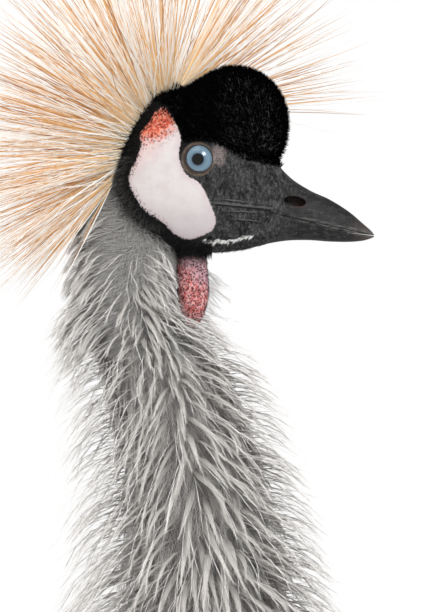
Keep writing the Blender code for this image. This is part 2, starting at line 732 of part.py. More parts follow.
def build_crest():
    """The crown of stiff golden bristles, fanned from a pad on the nape."""
    centre = place(PAD_CENTRE[0], 0, PAD_CENTRE[1])
    half = tuple(h * MM for h in PAD_HALF)
    crest = oval_ball(centre, half, PAD_TILT, 10, 14)
    crest.name = "crest"
    long_way = Vector((math.cos(PAD_TILT), 0, math.sin(PAD_TILT)))
    out_way = Vector((-math.sin(PAD_TILT), 0, math.cos(PAD_TILT)))
    rng = np.random.default_rng(7)
    bristles = []
    for heading, from_shoulder in bristle_headings():
        length = BRISTLE_LENGTH * rng.uniform(0.90, 1.08)
        sway = Vector(rng.uniform(-0.06, 0.06, 3))
        reach = 1 / math.sqrt((heading.dot(long_way) / half[0]) ** 2 + (heading.y / half[1]) ** 2
                              + (heading.dot(out_way) / half[2]) ** 2)
        root = centre + heading * (reach * 0.72)
        if from_shoulder:
            root = place(*SHOULDER_PLACE) + Vector((0, 2.5 * MM, 0)) + heading * 2 * MM
        path = bend(root, heading, (heading + sway).normalized(), length, 2)
        if not stands_clear(path, heading):
            continue
        side = heading.cross(Vector((0.3, 0.2, 0.93))).normalized()
        up = side.cross(heading)
        bristles.append(blade(path, [side] * 2, [up] * 2,
                              [BRISTLE_THICK, BRISTLE_THICK * 0.8], BRISTLE_THICK * 0.85))
    x, y, z = SHOULDER_PLACE
    half = tuple(h * MM for h in SHOULDER_HALF)
    shoulders = [oval_ball(place(x, side * y, z), half, math.radians(35), 6, 10)
                 for side in (-1, 1)]
    combine(crest, shoulders + bristles, "UNION", "MANIFOLD")
    combine(crest, [head_form("skull", GAP / MM)], "DIFFERENCE", "MANIFOLD")
    combine(crest, [cap_form(GAP / MM)], "DIFFERENCE", "MANIFOLD")
    combine(crest, [cheek_form("cheek", side, GAP / MM) for side in (-1, 1)],
            "DIFFERENCE", "MANIFOLD")
    combine(crest, [neck_core("nape")], "DIFFERENCE", "MANIFOLD")
    keep_largest(crest)
    dress(crest, "bristle")


def wattle_form(name, grow=0.0):
    """The throat wattle as a closed body."""
    return skin_rings(name, PlaneSweep(WATTLE_STATIONS).rings(9, 10, grow))


def build_wattle():
    """The red throat wattle, hung under the chin."""
    wattle = wattle_form("throat_wattle")
    combine(wattle, [head_form("skull", GAP / MM), nape_collar(GAP)], "DIFFERENCE")
    keep_largest(wattle)
    dress(wattle, "wattle")


def hackle(neck, share, angle):
    """One long pointed neck feather, lifted from the neck and bent down by its weight."""
    root = neck.point(share, angle, -3 * MM)
    outward = neck.outward(share, angle)
    down = neck.axes(share)[1]
    lift = value_at(HACKLE_LIFT, share) + 0.12 * math.cos(angle)
    length = value_at(HACKLE_LENGTH, share) * MM
    start = (down * (1 - lift * 0.55) + outward * lift).normalized()
    end = (down + outward * 0.22 + Vector((0, 0, -0.25))).normalized()
    path = bend(root, start, end, length, 3)
    width = (6.5 + 5.0 * share) * MM
    sides, ups = [], []
    for i in range(3):
        heading = (path[i + 1] - path[i]).normalized()
        side = heading.cross(outward).normalized()
        sides.append(side)
        ups.append(side.cross(heading))
    if ups[0].dot(outward) < 0:
        ups = [-u for u in ups]
    return blade(path, sides, ups, [width * w for w in (0.65, 1.0, 0.8)], HACKLE_THICK)


def build_neck():
    """The neck in one length, its core carrying rows of overlapping hackles."""
    form = PlaneSweep(NECK_STATIONS)
    neck = neck_core("neck")
    vanes = []
    for row in range(HACKLE_ROWS):
        share = 0.24 + 0.66 * row / (HACKLE_ROWS - 1)
        for k in range(HACKLES_IN_ROW):
            angle = 2 * math.pi * (k + 0.5 * (row % 2)) / HACKLES_IN_ROW
            if share < 0.36 and math.cos(angle) > 0.8:
                continue
            vanes.append(hackle(form, share, angle))
    combine(neck, vanes, "UNION", "MANIFOLD")
    cutters = [head_form("skull", GAP / MM), wattle_form("throat", GAP), face_zone(GAP / MM)]
    combine(neck, cutters, "DIFFERENCE", "MANIFOLD")
    combine(neck, [torso_form("trunk", GAP)], "DIFFERENCE")
    between_wings = prism(NECK_BACK_CUT, -0.05, 0.05)
    combine(neck, [wing_arm(side, 9 * MM, 8 * MM) for side in (-1, 1)] + [between_wings],
            "DIFFERENCE", "MANIFOLD")
    keep_largest(neck)
    dress(neck, "neck")


def torso_form(name, grow=0.0):
    """The trunk from breast to rump as a closed body."""
    return skin_rings(name, PlaneSweep(TORSO_STATIONS).rings(13, 16, grow))


def build_torso():
    """The trunk."""
    torso = torso_form("torso")
    dress(torso, "slate")


WING_FROM, WING_TO = math.radians(3.5), math.radians(112)
WING_START, WING_END = 0.06, 0.62
WING_DEEP = 14 * MM


def wing_arm(side, raised=0.0, margin=0.0):
    """The folded arm: a curved plate on the side of the trunk."""
    mantle = PlaneSweep(MANTLE_STATIONS)
    lengths, arcs = 7, 6
    low, high = WING_FROM - margin / 0.09, WING_TO + margin / 0.09
    first, last = WING_START - margin / 0.55, WING_END + margin / 0.55
    rings = []
    for i in range(lengths + 1):
        t = i / lengths
        share = first + (last - first) * t
        # The plate's ends are narrower and thinner, so that it is rounded.
        squeeze = math.sin(math.pi * min(1.0, max(0.06, 0.12 + 0.8 * t))) ** 0.5
        middle, half = (low + high) / 2, (high - low) / 2 * (0.45 + 0.55 * squeeze)
        edge = [middle + half * (2 * k / arcs - 1) for k in range(arcs + 1)]
        top = [mantle.point(share, side * a, raised) for a in edge]
        bottom = [mantle.point(share, side * a, -WING_DEEP - margin) for a in reversed(edge)]
        rings.append(top + bottom)
    return skin_rings("arm", rings)


def wing_vane(side, tier, share, angle, length, width, drop):
    """One wing feather, rooted in the arm and running back over the mantle."""
    mantle = PlaneSweep(MANTLE_STATIONS)
    steps = 3
    path, sides, ups = [], [], []
    for i in range(steps + 1):
        t = i / steps
        at = min(share + length * t, 1.0)
        a = angle + drop * t * t
        height = (tier + (1.5 + 2.5 * t)) * MM if i else -4.0 * MM
        path.append(mantle.point(at, side * a, height))
    for i in range(steps):
        heading = (path[i + 1] - path[i]).normalized()
        outward = mantle.outward(min(share + length * i / steps, 1.0),
                                 side * (angle + drop * (i / steps) ** 2))
        across = heading.cross(outward).normalized()
        # Each vane is turned about its shaft, one edge under its neighbour, like a slat.
        turned = (across * side + outward * 0.11).normalized()
        sides.append(turned)
        up = turned.cross(heading).normalized()
        ups.append(up if up.dot(outward) > 0 else -up)
    return blade(path, sides, ups, [width * w for w in (0.6, 1.0, 0.9)], VANE_THICK)


WING_TIERS = (
    # Name, place along, first and last angle, count, length, width, layer, droop.
    ("lesser coverts", 0.10, 16, 92, 4, 0.20, 44, 2.2, 4),
    ("median coverts", 0.24, 16, 98, 5, 0.21, 44, 1.8, 4),
    ("greater coverts", 0.38, 16, 98, 5, 0.22, 44, 1.2, 4),
    ("golden plumes", 0.50, 11, 76, 7, 0.36, 14, 2.6, 14),
    ("chestnut secondaries", 0.50, 19, 66, 3, 0.46, 42, -1.6, 10),
    ("black primaries", 0.50, 78, 104, 3, 0.49, 26, -1.2, -6),
)


def build_wing(side, name):
    """One folded wing: the arm and its feathers in overlapping tiers."""
    wing = wing_arm(side)
    wing.name = name
    vanes = []
    for _, share, first, last, count, length, width, layer, droop in WING_TIERS:
        for k in range(count):
            angle = math.radians(first + (last - first) * k / (count - 1))
            vanes.append(wing_vane(side, layer, share, angle, length, width * MM,
                                   math.radians(droop)))
    combine(wing, vanes, "UNION", "MANIFOLD")
    combine(wing, [torso_form("trunk", GAP)], "DIFFERENCE", "MANIFOLD")
    keep_largest(wing)
    dress(wing, "wing")


def build_tail():
    """The folded tail, a stack of flight feathers on the rump."""
    root = place(-284, 0, -498)
    heading = Vector((-0.80, 0, -0.60)).normalized()
    up = Vector((-0.60, 0, 0.80))
    tail = oval_ball(root + heading * 8 * MM, (17 * MM, 15 * MM, 8 * MM),
                     math.atan2(heading.z, -heading.x) * -1 + math.pi, 8, 12)
    tail.name = "tail"
    vanes = []
    middle = (TAIL_FEATHERS - 1) / 2
    for k in range(TAIL_FEATHERS):
        spread = (k - middle) / middle
        aim = (heading + Vector((0, 0.13 * spread, 0))).normalized()
        stack = 1.1 * MM * (middle - abs(k - middle)) - 2 * MM
        start = root + Vector((0, 9 * MM * spread, 0)) + up * stack
        path = bend(start, aim, (aim + Vector((0, 0, -0.12))).normalized(),
                    (150 - 12 * abs(spread)) * MM, 3)
        across = aim.cross(up).normalized()
        turned = (across + up * 0.05 * (1 if spread <= 0 else -1)).normalized()
        ups = turned.cross(aim).normalized()
        ups = ups if ups.dot(up) > 0 else -ups
        vanes.append(blade(path, [turned] * 3, [ups] * 3,
                           [24 * MM * w for w in (0.6, 1.0, 0.95)], VANE_THICK * 0.8))
    combine(tail, vanes, "UNION", "MANIFOLD")
    combine(tail, [torso_form("trunk", GAP)], "DIFFERENCE", "MANIFOLD")
    keep_largest(tail)
    dress(tail, "tail")


def leg_rings(stations, side, lengths, sides_around, grow=0.0):
    """Rings of a limb whose sections are level ovals."""
    rings = []
    for i in range(lengths + 1):
        x, y, z, ahead, out = curve_through(stations, i / lengths)
        rings.append([place(x, side * y, z)
                      + Vector(((ahead * MM + grow) * math.cos(2 * math.pi * k / sides_around),
                                side * (out * MM + grow)
                                * math.sin(2 * math.pi * k / sides_around), 0))
                      for k in range(sides_around)])
    return rings


def build_leg(side, word):
    """One leg: feathered thigh, bare shank with the hock, scuted tarsus and the toes."""
    thigh = skin_rings("thigh_" + word, leg_rings(THIGH_STATIONS, side, 9, 12))
    shank_gap = skin_rings("shank", leg_rings(SHANK_STATIONS, side, 10, 10, GAP))
    combine(thigh, [torso_form("trunk", GAP), shank_gap], "DIFFERENCE")
    keep_largest(thigh)
    dress(thigh, "slate")
    shank = skin_rings("shank_" + word, leg_rings(SHANK_STATIONS, side, 10, 10))
    dress(shank, "leg")
    build_tarsus(side, word)
    for name, heading, length, radius in TOES:
        build_toe(side, word, name, heading, length, radius)


def build_tarsus(side, word):
    """The long tarsus, with broad scutes stepping down its front, and the foot's hub."""
    top, foot = place(*TARSUS_TOP), place(*TARSUS_FOOT)
    top.y, foot.y = top.y * side, foot.y * side
    top.z -= GAP
    sides_around = 8
    rings = []
    for i in range(2 * SCUTES + 1):
        t = i / (2 * SCUTES)
        ahead = float(np.interp(t, [r[0] for r in TARSUS_RADII], [r[1] for r in TARSUS_RADII]))
        out = float(np.interp(t, [r[0] for r in TARSUS_RADII], [r[2] for r in TARSUS_RADII]))
        centre = top.lerp(foot, t)
        step = 0.55 if i % 2 and 0.05 < t < 0.97 else 0.0
        ring = []
        for k in range(sides_around):
            turn = 2 * math.pi * k / sides_around
            raised = step if math.cos(turn) > 0.3 else 0.0
            ring.append(centre + Vector(((ahead + raised) * MM * math.cos(turn),
                                         side * (out + raised * 0.6) * MM * math.sin(turn), 0)))
        rings.append(ring)
    tarsus = skin_rings("tarsus_" + word, rings)
    combine(tarsus, [foot_hub(side)], "UNION")
    shank_gap = skin_rings("shank", leg_rings(SHANK_STATIONS, side, 10, 10, GAP))
    combine(tarsus, [shank_gap], "DIFFERENCE")
    keep_largest(tarsus)
    dress(tarsus, "leg")


def foot_hub(side, grow=0.0):
    """The knuckle that the toes spread from."""
    foot = place(*TARSUS_FOOT)
    middle = Vector((foot.x, side * foot.y, foot.z - 1 * MM))
    half = (9.5 * MM + grow, 9.0 * MM + grow, 9.0 * MM + grow)
    return oval_ball(middle, half, math.pi / 2, 6, 8)


def toe_sector(side, name):
    """A wedge round one toe that parts it from its neighbours at the knuckle."""
    low, high = (math.radians(a) for a in TOE_PARTINGS[name])
    middle, half = (low + high) / 2, (high - low) / 2
    foot = place(*TARSUS_FOOT)
    inset = GAP / 2 / math.sin(half)
    corners = []
    for angle, reach in ((middle, inset), (low, 0.3), (middle, 0.5), (high, 0.3)):
        corners.append((foot.x + reach * math.cos(angle),
                        side * (foot.y + reach * math.sin(angle))))
    points = [Vector((x, y, z)) for z in (-0.01, 0.06) for x, y in corners]
    sides = [(k, (k + 1) % 4, 4 + (k + 1) % 4, 4 + k) for k in range(4)]
    return new_object("sector", points, [(0, 1, 2, 3), (4, 5, 6, 7)] + sides)


def build_toe(side, word, name, heading, length, radius):
    """One toe with its pads flat on the floor, and its claw."""
    turn = math.radians(heading) * side
    way = Vector((math.cos(turn), math.sin(turn), 0))
    across = Vector((-way.y, way.x, 0))
    foot = place(*TARSUS_FOOT)
    foot.y *= side
    start = Vector((foot.x, foot.y, 0)) + way * 3 * MM
    steps, around = 2 * TOE_PADS, 6
    rings = []
    for i in range(steps + 1):
        t = i / steps
        swell = 1.0 + (0.14 if i % 2 == 0 else -0.10)
        r = radius * (1 - 0.42 * t) * swell
        lift = TOE_ROOT_LIFT * max(0.0, 1 - 3 * t) ** 2
        centre = start + way * (length * t * MM) + Vector((0, 0, (r * 0.86 + lift) * MM))
        ring = []
        for k in range(around):
            angle = 2 * math.pi * k / around
            point = (centre + across * (r * MM * math.cos(angle))
                     + Vector((0, 0, r * MM * math.sin(angle))))
            point.z = max(point.z, 0.0)
            ring.append(point)
        rings.append(ring)
    toe = skin_rings(f"toe_{name}_{word}", rings)
    claw_root = start + way * ((length - 3.4) * MM)
    claw = []
    for i in range(3):
        t = i / 2
        r = 2.5 * (1 - t) ** 0.8 + 0.3
        centre = claw_root + way * ((3.6 + CLAW_LENGTH) * t * MM)
        centre.z = (3.9 - 2.2 * t * t - 1.1 * t) * MM
        claw.append([centre + across * (r * 0.8 * MM * math.cos(2 * math.pi * k / 5))
                     + Vector((0, 0, r * MM * math.sin(2 * math.pi * k / 5)))
                     for k in range(5)])
    cut = [[centre_out(p, ring, 1.0 + 0.3 / 2.4) for p in ring] for ring in claw]
    combine(toe, [toe_sector(side, name)], "INTERSECT")
    combine(toe, [foot_hub(side, GAP), skin_rings("claw", cut)], "DIFFERENCE")
    keep_largest(toe)
    dress(toe, "leg")
    nail = skin_rings(f"claw_{name}_{word}", claw)
    dress(nail, "claw")


def centre_out(point, ring, scale):
    """A ring's point moved away from the ring's middle."""
    middle = sum(ring, Vector()) / len(ring)
    return middle + (point - middle) * scale


def smooth_all():
    """Shades every node smooth with its sharp edges kept."""
    for body in bpy.context.scene.objects:
        if body.type == "MESH":
            body.data.shade_smooth()
            body.data.set_sharp_from_angle(angle=math.radians(40))


def main():
    for old in list(bpy.data.objects):
        bpy.data.objects.remove(old)
    build_head()
    build_bill()
    build_eyes()
    build_cap()
    build_cheeks()
    build_wattle()
    build_crest()
    build_torso()
    build_neck()
    build_wing(-1, "wing_right")
    build_wing(1, "wing_left")
    build_tail()
    for side, word in ((-1, "right"), (1, "left")):
        build_leg(side, word)
    smooth_all()


main()
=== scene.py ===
"""The dressed grey crowned crane: skin, feathers, bristles, bill, eyes and legs.

Metres, +Z up, +X towards the bill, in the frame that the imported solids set. Body
stations are in millimetres from the middle of the eyes.
"""

import logging
import math
from dataclasses import dataclass, field
from enum import Enum

import bmesh
import bpy
import numpy as np
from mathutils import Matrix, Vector


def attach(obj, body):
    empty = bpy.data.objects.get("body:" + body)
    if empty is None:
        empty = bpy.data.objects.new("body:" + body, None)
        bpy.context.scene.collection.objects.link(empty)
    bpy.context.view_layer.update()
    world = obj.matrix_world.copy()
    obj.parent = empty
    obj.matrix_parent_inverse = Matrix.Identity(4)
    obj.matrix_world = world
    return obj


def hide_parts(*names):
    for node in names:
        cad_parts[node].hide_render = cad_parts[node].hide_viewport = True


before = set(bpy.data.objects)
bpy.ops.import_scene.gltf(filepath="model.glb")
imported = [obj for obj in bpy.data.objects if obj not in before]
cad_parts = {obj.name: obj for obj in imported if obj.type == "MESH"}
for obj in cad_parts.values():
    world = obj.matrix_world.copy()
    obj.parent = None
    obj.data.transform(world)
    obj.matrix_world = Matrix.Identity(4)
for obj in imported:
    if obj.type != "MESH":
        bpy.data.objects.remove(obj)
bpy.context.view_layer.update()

LOG = logging.getLogger("crane")
BODY = "root"
MM = 0.001
EYE = np.array((0.175, 0.0, 0.955))
UP = np.array((0.0, 0.0, 1.0))
ACROSS = np.array((0.0, 1.0, 0.0))

# Stations of the swept bodies: x and z of the centre, then the reach ahead or above,
# behind or below, and to each side.
NECK_STATIONS = (
    (-30, -14, 12, 14, 9.5), (-33, -32, 20, 21, 15.5), (-33, -51, 24, 25, 22),
    (-28, -73, 25, 27, 25), (-20, -97, 27, 29, 27), (-11, -126, 29, 31, 29),
    (-2, -162, 31, 33, 31), (5, -200, 33, 36, 34), (10, -235, 35, 39, 37),
    (13, -270, 38, 42, 40), (11, -303, 41, 46, 44), (4, -335, 43, 50, 48),
    (-12, -366, 44, 50, 50),
)
TORSO_STATIONS = (
    (34, -352, 12, 14, 12), (22, -362, 40, 44, 36), (-4, -378, 62, 72, 56),
    (-46, -400, 82, 92, 74), (-100, -424, 94, 99, 84), (-160, -448, 90, 90, 80),
    (-216, -470, 72, 70, 64), (-262, -488, 46, 46, 42), (-292, -502, 16, 18, 16),
)
MANTLE_STATIONS = (
    (20, -352, 44, 48, 40), (-4, -372, 70, 76, 66), (-50, -400, 92, 98, 86),
    (-104, -425, 103, 104, 95), (-164, -450, 99, 96, 92), (-224, -476, 88, 84, 84),
    (-284, -506, 74, 70, 72), (-340, -540, 60, 58, 60), (-392, -574, 46, 44, 46),
    (-440, -606, 30, 28, 30),
)
WATTLE_STATIONS = (
    (-5.0, -40.0, 5.0, 5.0, 4.5), (-4.0, -48.0, 8.0, 7.2, 6.6), (-3.4, -58.0, 8.4, 7.6, 7.2),
    (-3.0, -68.0, 8.6, 7.6, 7.4), (-3.2, -77.0, 7.2, 6.4, 6.2), (-3.6, -84.0, 4.4, 4.0, 3.6),
    (-3.8, -87.0, 1.2, 1.2, 1.0),
)
# Head and bill: x, top and bottom, half width, widest level, upper and lower roundness.
HEAD_STATIONS = (
    (-43.4, -12.0, -18.0, 3.0, -15.0, 2.0, 2.0), (-41.6, -3.0, -27.0, 8.5, -14.0, 2.0, 2.0),
    (-38.0, 9.0, -34.0, 12.5, -10.0, 2.1, 2.1), (-30.2, 20.5, -40.0, 16.0, -7.0, 2.2, 2.2),
    (-17.2, 29.5, -44.5, 18.0, -5.0, 2.3, 2.2), (-4.0, 33.0, -46.8, 18.3, -4.0, 2.3, 2.1),
    (9.0, 32.0, -47.5, 17.3, -5.0, 2.2, 2.1), (22.0, 25.0, -46.2, 14.8, -8.0, 2.1, 2.1),
    (32.0, 14.0, -44.0, 12.6, -13.0, 2.0, 2.1), (40.0, 0.5, -42.3, 10.9, -20.0, 1.9, 2.1),
    (48.0, -8.6, -41.3, 9.6, -25.5, 1.8, 2.1), (58.0, -15.2, -41.2, 8.2, -29.5, 1.8, 2.1),
    (68.0, -19.8, -41.9, 6.6, -33.0, 1.8, 2.1), (78.0, -26.0, -42.1, 4.7, -36.0, 1.8, 2.0),
    (85.5, -32.3, -41.5, 2.7, -38.2, 1.9, 2.0), (90.0, -36.3, -40.2, 1.1, -38.7, 2.0, 2.0),
    (91.5, -38.2, -39.4, 0.4, -38.8, 2.0, 2.0),
)
MOUTH_LINE = ((12.5, -24.2), (26.0, -24.6), (36.4, -26.6), (46.6, -29.2), (56.9, -31.7),
              (67.2, -34.8), (77.5, -37.2), (92.5, -38.9))
# Where the black band behind the cheek meets the neck's grey feathers, and the line that
# the crest's bristles are rooted along.
BAND_LINE = ((-36.6, 15.5), (-40.6, 2.0), (-43.0, -8.0), (-41.6, -17.7), (-38.0, -27.0),
             (-29.5, -35.0), (-19.5, -41.2), (-13.3, -46.5), (-8.6, -52.0))
ROOT_LINE = ((-44.0, -12.0), (-42.0, -3.5), (-37.0, 11.5), (-30.0, 23.5), (-19.5, 33.5),
             (-8.0, 39.0))
# Where the bill's horn starts.
BILL_BASE = ((33.15, -52), (43.65, 4))
# The face in front of the first line, and all that lies ahead of the second.
FACE_OUTLINE = np.array(BAND_LINE + ((140, -52), (140, 60), (-36.6, 60)))
CREST_AHEAD = np.array(ROOT_LINE + ((60, 60), (60, -60), (-44, -60)))
CHEEK_OUTLINE = ((-18.0, 27.5), (-10.8, 17.5), (-8.6, 10.0), (-9.6, 1.0), (-5.6, -7.8),
                 (1.2, -12.4), (5.6, -20.4), (9.4, -31.4), (6.4, -37.2), (-3.0, -41.0),
                 (-11.0, -39.4), (-18.4, -32.6), (-27.6, -26.4), (-34.4, -16.0),
                 (-35.8, -8.0), (-32.0, 0.4), (-29.6, 8.4), (-30.4, 13.0), (-25.6, 19.6))
CAP_CENTRE = (17.5, 19.0)
CAP_REACH = ((-180, 37), (-150, 30), (-110, 26), (-80, 26), (-55, 28), (-38, 33), (-15, 31),
             (0, 31), (20, 31.5), (45, 32), (70, 32), (95, 31.5), (115, 30), (135, 30),
             (150, 34), (165, 39), (180, 37))
CAP_HALF_WIDTH = 20.0
CAP_EDGE = ((-23.0, 34.5), (-18.5, 33.0), (-14.0, 26.0), (-9.3, 17.0), (-5.5, 12.2),
            (4.0, 11.2), (13.5, 5.6), (22.0, 0.4), (33.0, -2.4), (40.5, -3.4), (60.0, -6.0))
THIGH_STATIONS = (
    (-84, 38, -448, 34, 20), (-92, 41, -490, 38, 26), (-102, 43, -530, 33, 25),
    (-113, 45, -570, 23, 19), (-123, 46, -608, 15, 13.5), (-130, 47, -640, 10, 9.4),
)
SHANK_STATIONS = (
    (-128.0, 46.8, -632, 6.4, 6.2), (-134.0, 47.2, -656, 6.6, 6.0),
    (-139.5, 47.6, -684, 6.4, 5.8), (-144.5, 48.0, -712, 7.2, 6.8),
    (-147.5, 48.2, -730, 10.0, 9.2), (-148.5, 48.3, -742, 11.0, 10.0),
    (-147.6, 48.4, -753, 9.6, 9.0),
)


class Side(Enum):
    """The bird's two sides, by the sign of Y."""

    RIGHT = -1
    LEFT = 1


def place(points: np.ndarray) -> np.ndarray:
    """Points in millimetres from the eyes, in the row frame in metres."""
    return EYE + np.asarray(points, float) * MM


def from_eyes(points: np.ndarray) -> np.ndarray:
    """Points in metres, in millimetres from the middle of the eyes."""
    return (points - EYE) / MM


def circle(count: int) -> np.ndarray:
    """Angles spread evenly round a circle, in radians."""
    return 2 * math.pi * np.arange(count) / count


def lattice(lengths: int, sides: int) -> tuple:
    """The shares and angles of rings of points down a body."""
    share = np.repeat(np.linspace(0, 1, lengths + 1), sides)
    return share, np.tile(circle(sides), lengths + 1)


def unit(vectors: np.ndarray) -> np.ndarray:
    """Vectors brought to length 1."""
    return vectors / np.maximum(np.linalg.norm(vectors, axis=-1, keepdims=True), 1e-12)


def column(values: np.ndarray) -> np.ndarray:
    """Numbers as a column that multiplies rows of vectors."""
    return np.asarray(values)[..., None]


def curve_through(knots: tuple, share: np.ndarray) -> np.ndarray:
    """A smooth curve through rows of knots.

    Args:
        knots: rows of numbers.
        share: places along the rows, 0 to 1.

    Returns:
        One row for each place.
    """
    rows = np.asarray(knots, float)
    last = len(rows) - 1
    at = np.clip(np.asarray(share, float), 0.0, 1.0) * last
    low = np.minimum(at.astype(int), last - 1)
    t = column(at - low)
    padded = np.vstack((2 * rows[0] - rows[1], rows, 2 * rows[last] - rows[last - 1]))
    before, a, b, after = (padded[low + k] for k in range(4))
    return 0.5 * (2 * a + (b - before) * t + (2 * before - 5 * a + 4 * b - after) * t ** 2
                  + (3 * a - before - 3 * b + after) * t ** 3)


def rounded(outline: tuple, per_corner: int = 4) -> np.ndarray:
    """A closed outline smoothed through its corners.

    Args:
        outline: its corners.
        per_corner: points for each corner.

    Returns:
        The points.
    """
    rows = np.asarray(outline, float)
    around = np.arange(len(rows) * per_corner) / per_corner
    low = around.astype(int)
    t = column(around - low)
    a, b, c, d = (rows[(low + k) % len(rows)] for k in (-1, 0, 1, 2))
    return 0.5 * (2 * b + (c - a) * t + (2 * a - 5 * b + 4 * c - d) * t ** 2
                  + (3 * b - a - 3 * c + d) * t ** 3)


def inside_by(points: np.ndarray, outline: np.ndarray) -> np.ndarray:
    """How far points lie inside a closed outline, negative outside it.

    Args:
        points: places in two directions.
        outline: the outline's points.

    Returns:
        The distance of each place from the outline.
    """
    ends = np.roll(outline, -1, axis=0)
    inside = np.zeros(len(points), bool)
    nearest = np.full(len(points), 1e9)
    for (ax, az), (bx, bz) in zip(outline, ends):
        px, pz = points[:, 0], points[:, 1]
        crosses = (az > pz) != (bz > pz)
        at = (bx - ax) * (pz - az) / (bz - az if bz != az else 1e-9) + ax
        inside ^= crosses & (px < at)
        length = max((bx - ax) ** 2 + (bz - az) ** 2, 1e-12)
        t = np.clip(((px - ax) * (bx - ax) + (pz - az) * (bz - az)) / length, 0, 1)
        nearest = np.minimum(nearest, np.hypot(px - ax - t * (bx - ax), pz - az - t * (bz - az)))
    return np.where(inside, nearest, -nearest)


@dataclass(frozen=True)
class Sweep:
    """A body swept along a centreline in the mirror plane, with oval sections."""

    stations: tuple

    def axes(self, share: np.ndarray) -> tuple:
        """Centre, heading, first direction and reaches of the sections at these shares.

        Args:
            share: places along the body, 0 to 1.

        Returns:
            The four, one row a section, with centres in metres and reaches in millimetres.
        """
        here = curve_through(self.stations, share)
        low = curve_through(self.stations, np.clip(share - 0.01, 0, 1))
        high = curve_through(self.stations, np.clip(share + 0.01, 0, 1))
        flat = np.zeros(len(here))
        along = unit(np.stack((high[:, 0] - low[:, 0], flat, high[:, 1] - low[:, 1]), 1))
        ahead = np.cross(ACROSS, along)
        ahead *= column(np.where(ahead[:, 0] + ahead[:, 2] > 0, 1.0, -1.0))
        centre = place(np.stack((here[:, 0], flat, here[:, 1]), 1))
        return centre, along, ahead, here[:, 2:]

    def point(self, share: np.ndarray, angle: np.ndarray, grow: np.ndarray = 0.0) -> np.ndarray:
        """Points on the surface, where angle 0 is ahead or above and 90 degrees is +Y.

        Args:
            share: places along the body, 0 to 1.
            angle: directions round it, in radians.
            grow: height over the surface, in millimetres.

        Returns:
            The points, in metres.
        """
        share, angle = np.broadcast_arrays(np.asarray(share, float), np.asarray(angle, float))
        centre, _, ahead, reach = self.axes(share)
        first = np.where(np.cos(angle) > 0, reach[:, 0], reach[:, 1])
        return (centre + ahead * column((first + grow) * MM * np.cos(angle))
                + ACROSS * column((reach[:, 2] + grow) * MM * np.sin(angle)))

    def outward(self, share: np.ndarray, angle: np.ndarray) -> np.ndarray:
        """The outward directions of the surface.

        Args:
            share: places along the body, 0 to 1.
            angle: directions round it, in radians.

        Returns:
            Unit directions, one row each.
        """
        share, angle = np.broadcast_arrays(np.asarray(share, float), np.asarray(angle, float))
        step = 0.01
        across = self.point(share, angle + step) - self.point(share, angle - step)
        along = (self.point(np.clip(share + step, 0, 1), angle)
                 - self.point(np.clip(share - step, 0, 1), angle))
        normal = unit(np.cross(across, along))
        away = self.point(share, angle) - self.axes(share)[0]
        return normal * column(np.where((normal * away).sum(1) > 0, 1.0, -1.0))

    def grid(self, lengths: int, sides: int, grow: float = 0.0) -> np.ndarray:
        """Rings of points over the whole body, with its ends grown too.

        Args:
            lengths: how many steps there are along the form.
            sides: points round each ring.
            grow: height over the surface, in millimetres.

        Returns:
            The rings' points in metres, by ring and side.
        """
        rings = self.point(*lattice(lengths, sides), grow).reshape(lengths + 1, sides, 3)
        ends = self.axes(np.array((0.0, 1.0)))[1] * grow * MM
        rings[0] -= ends[0]
        rings[-1] += ends[1]
        return rings


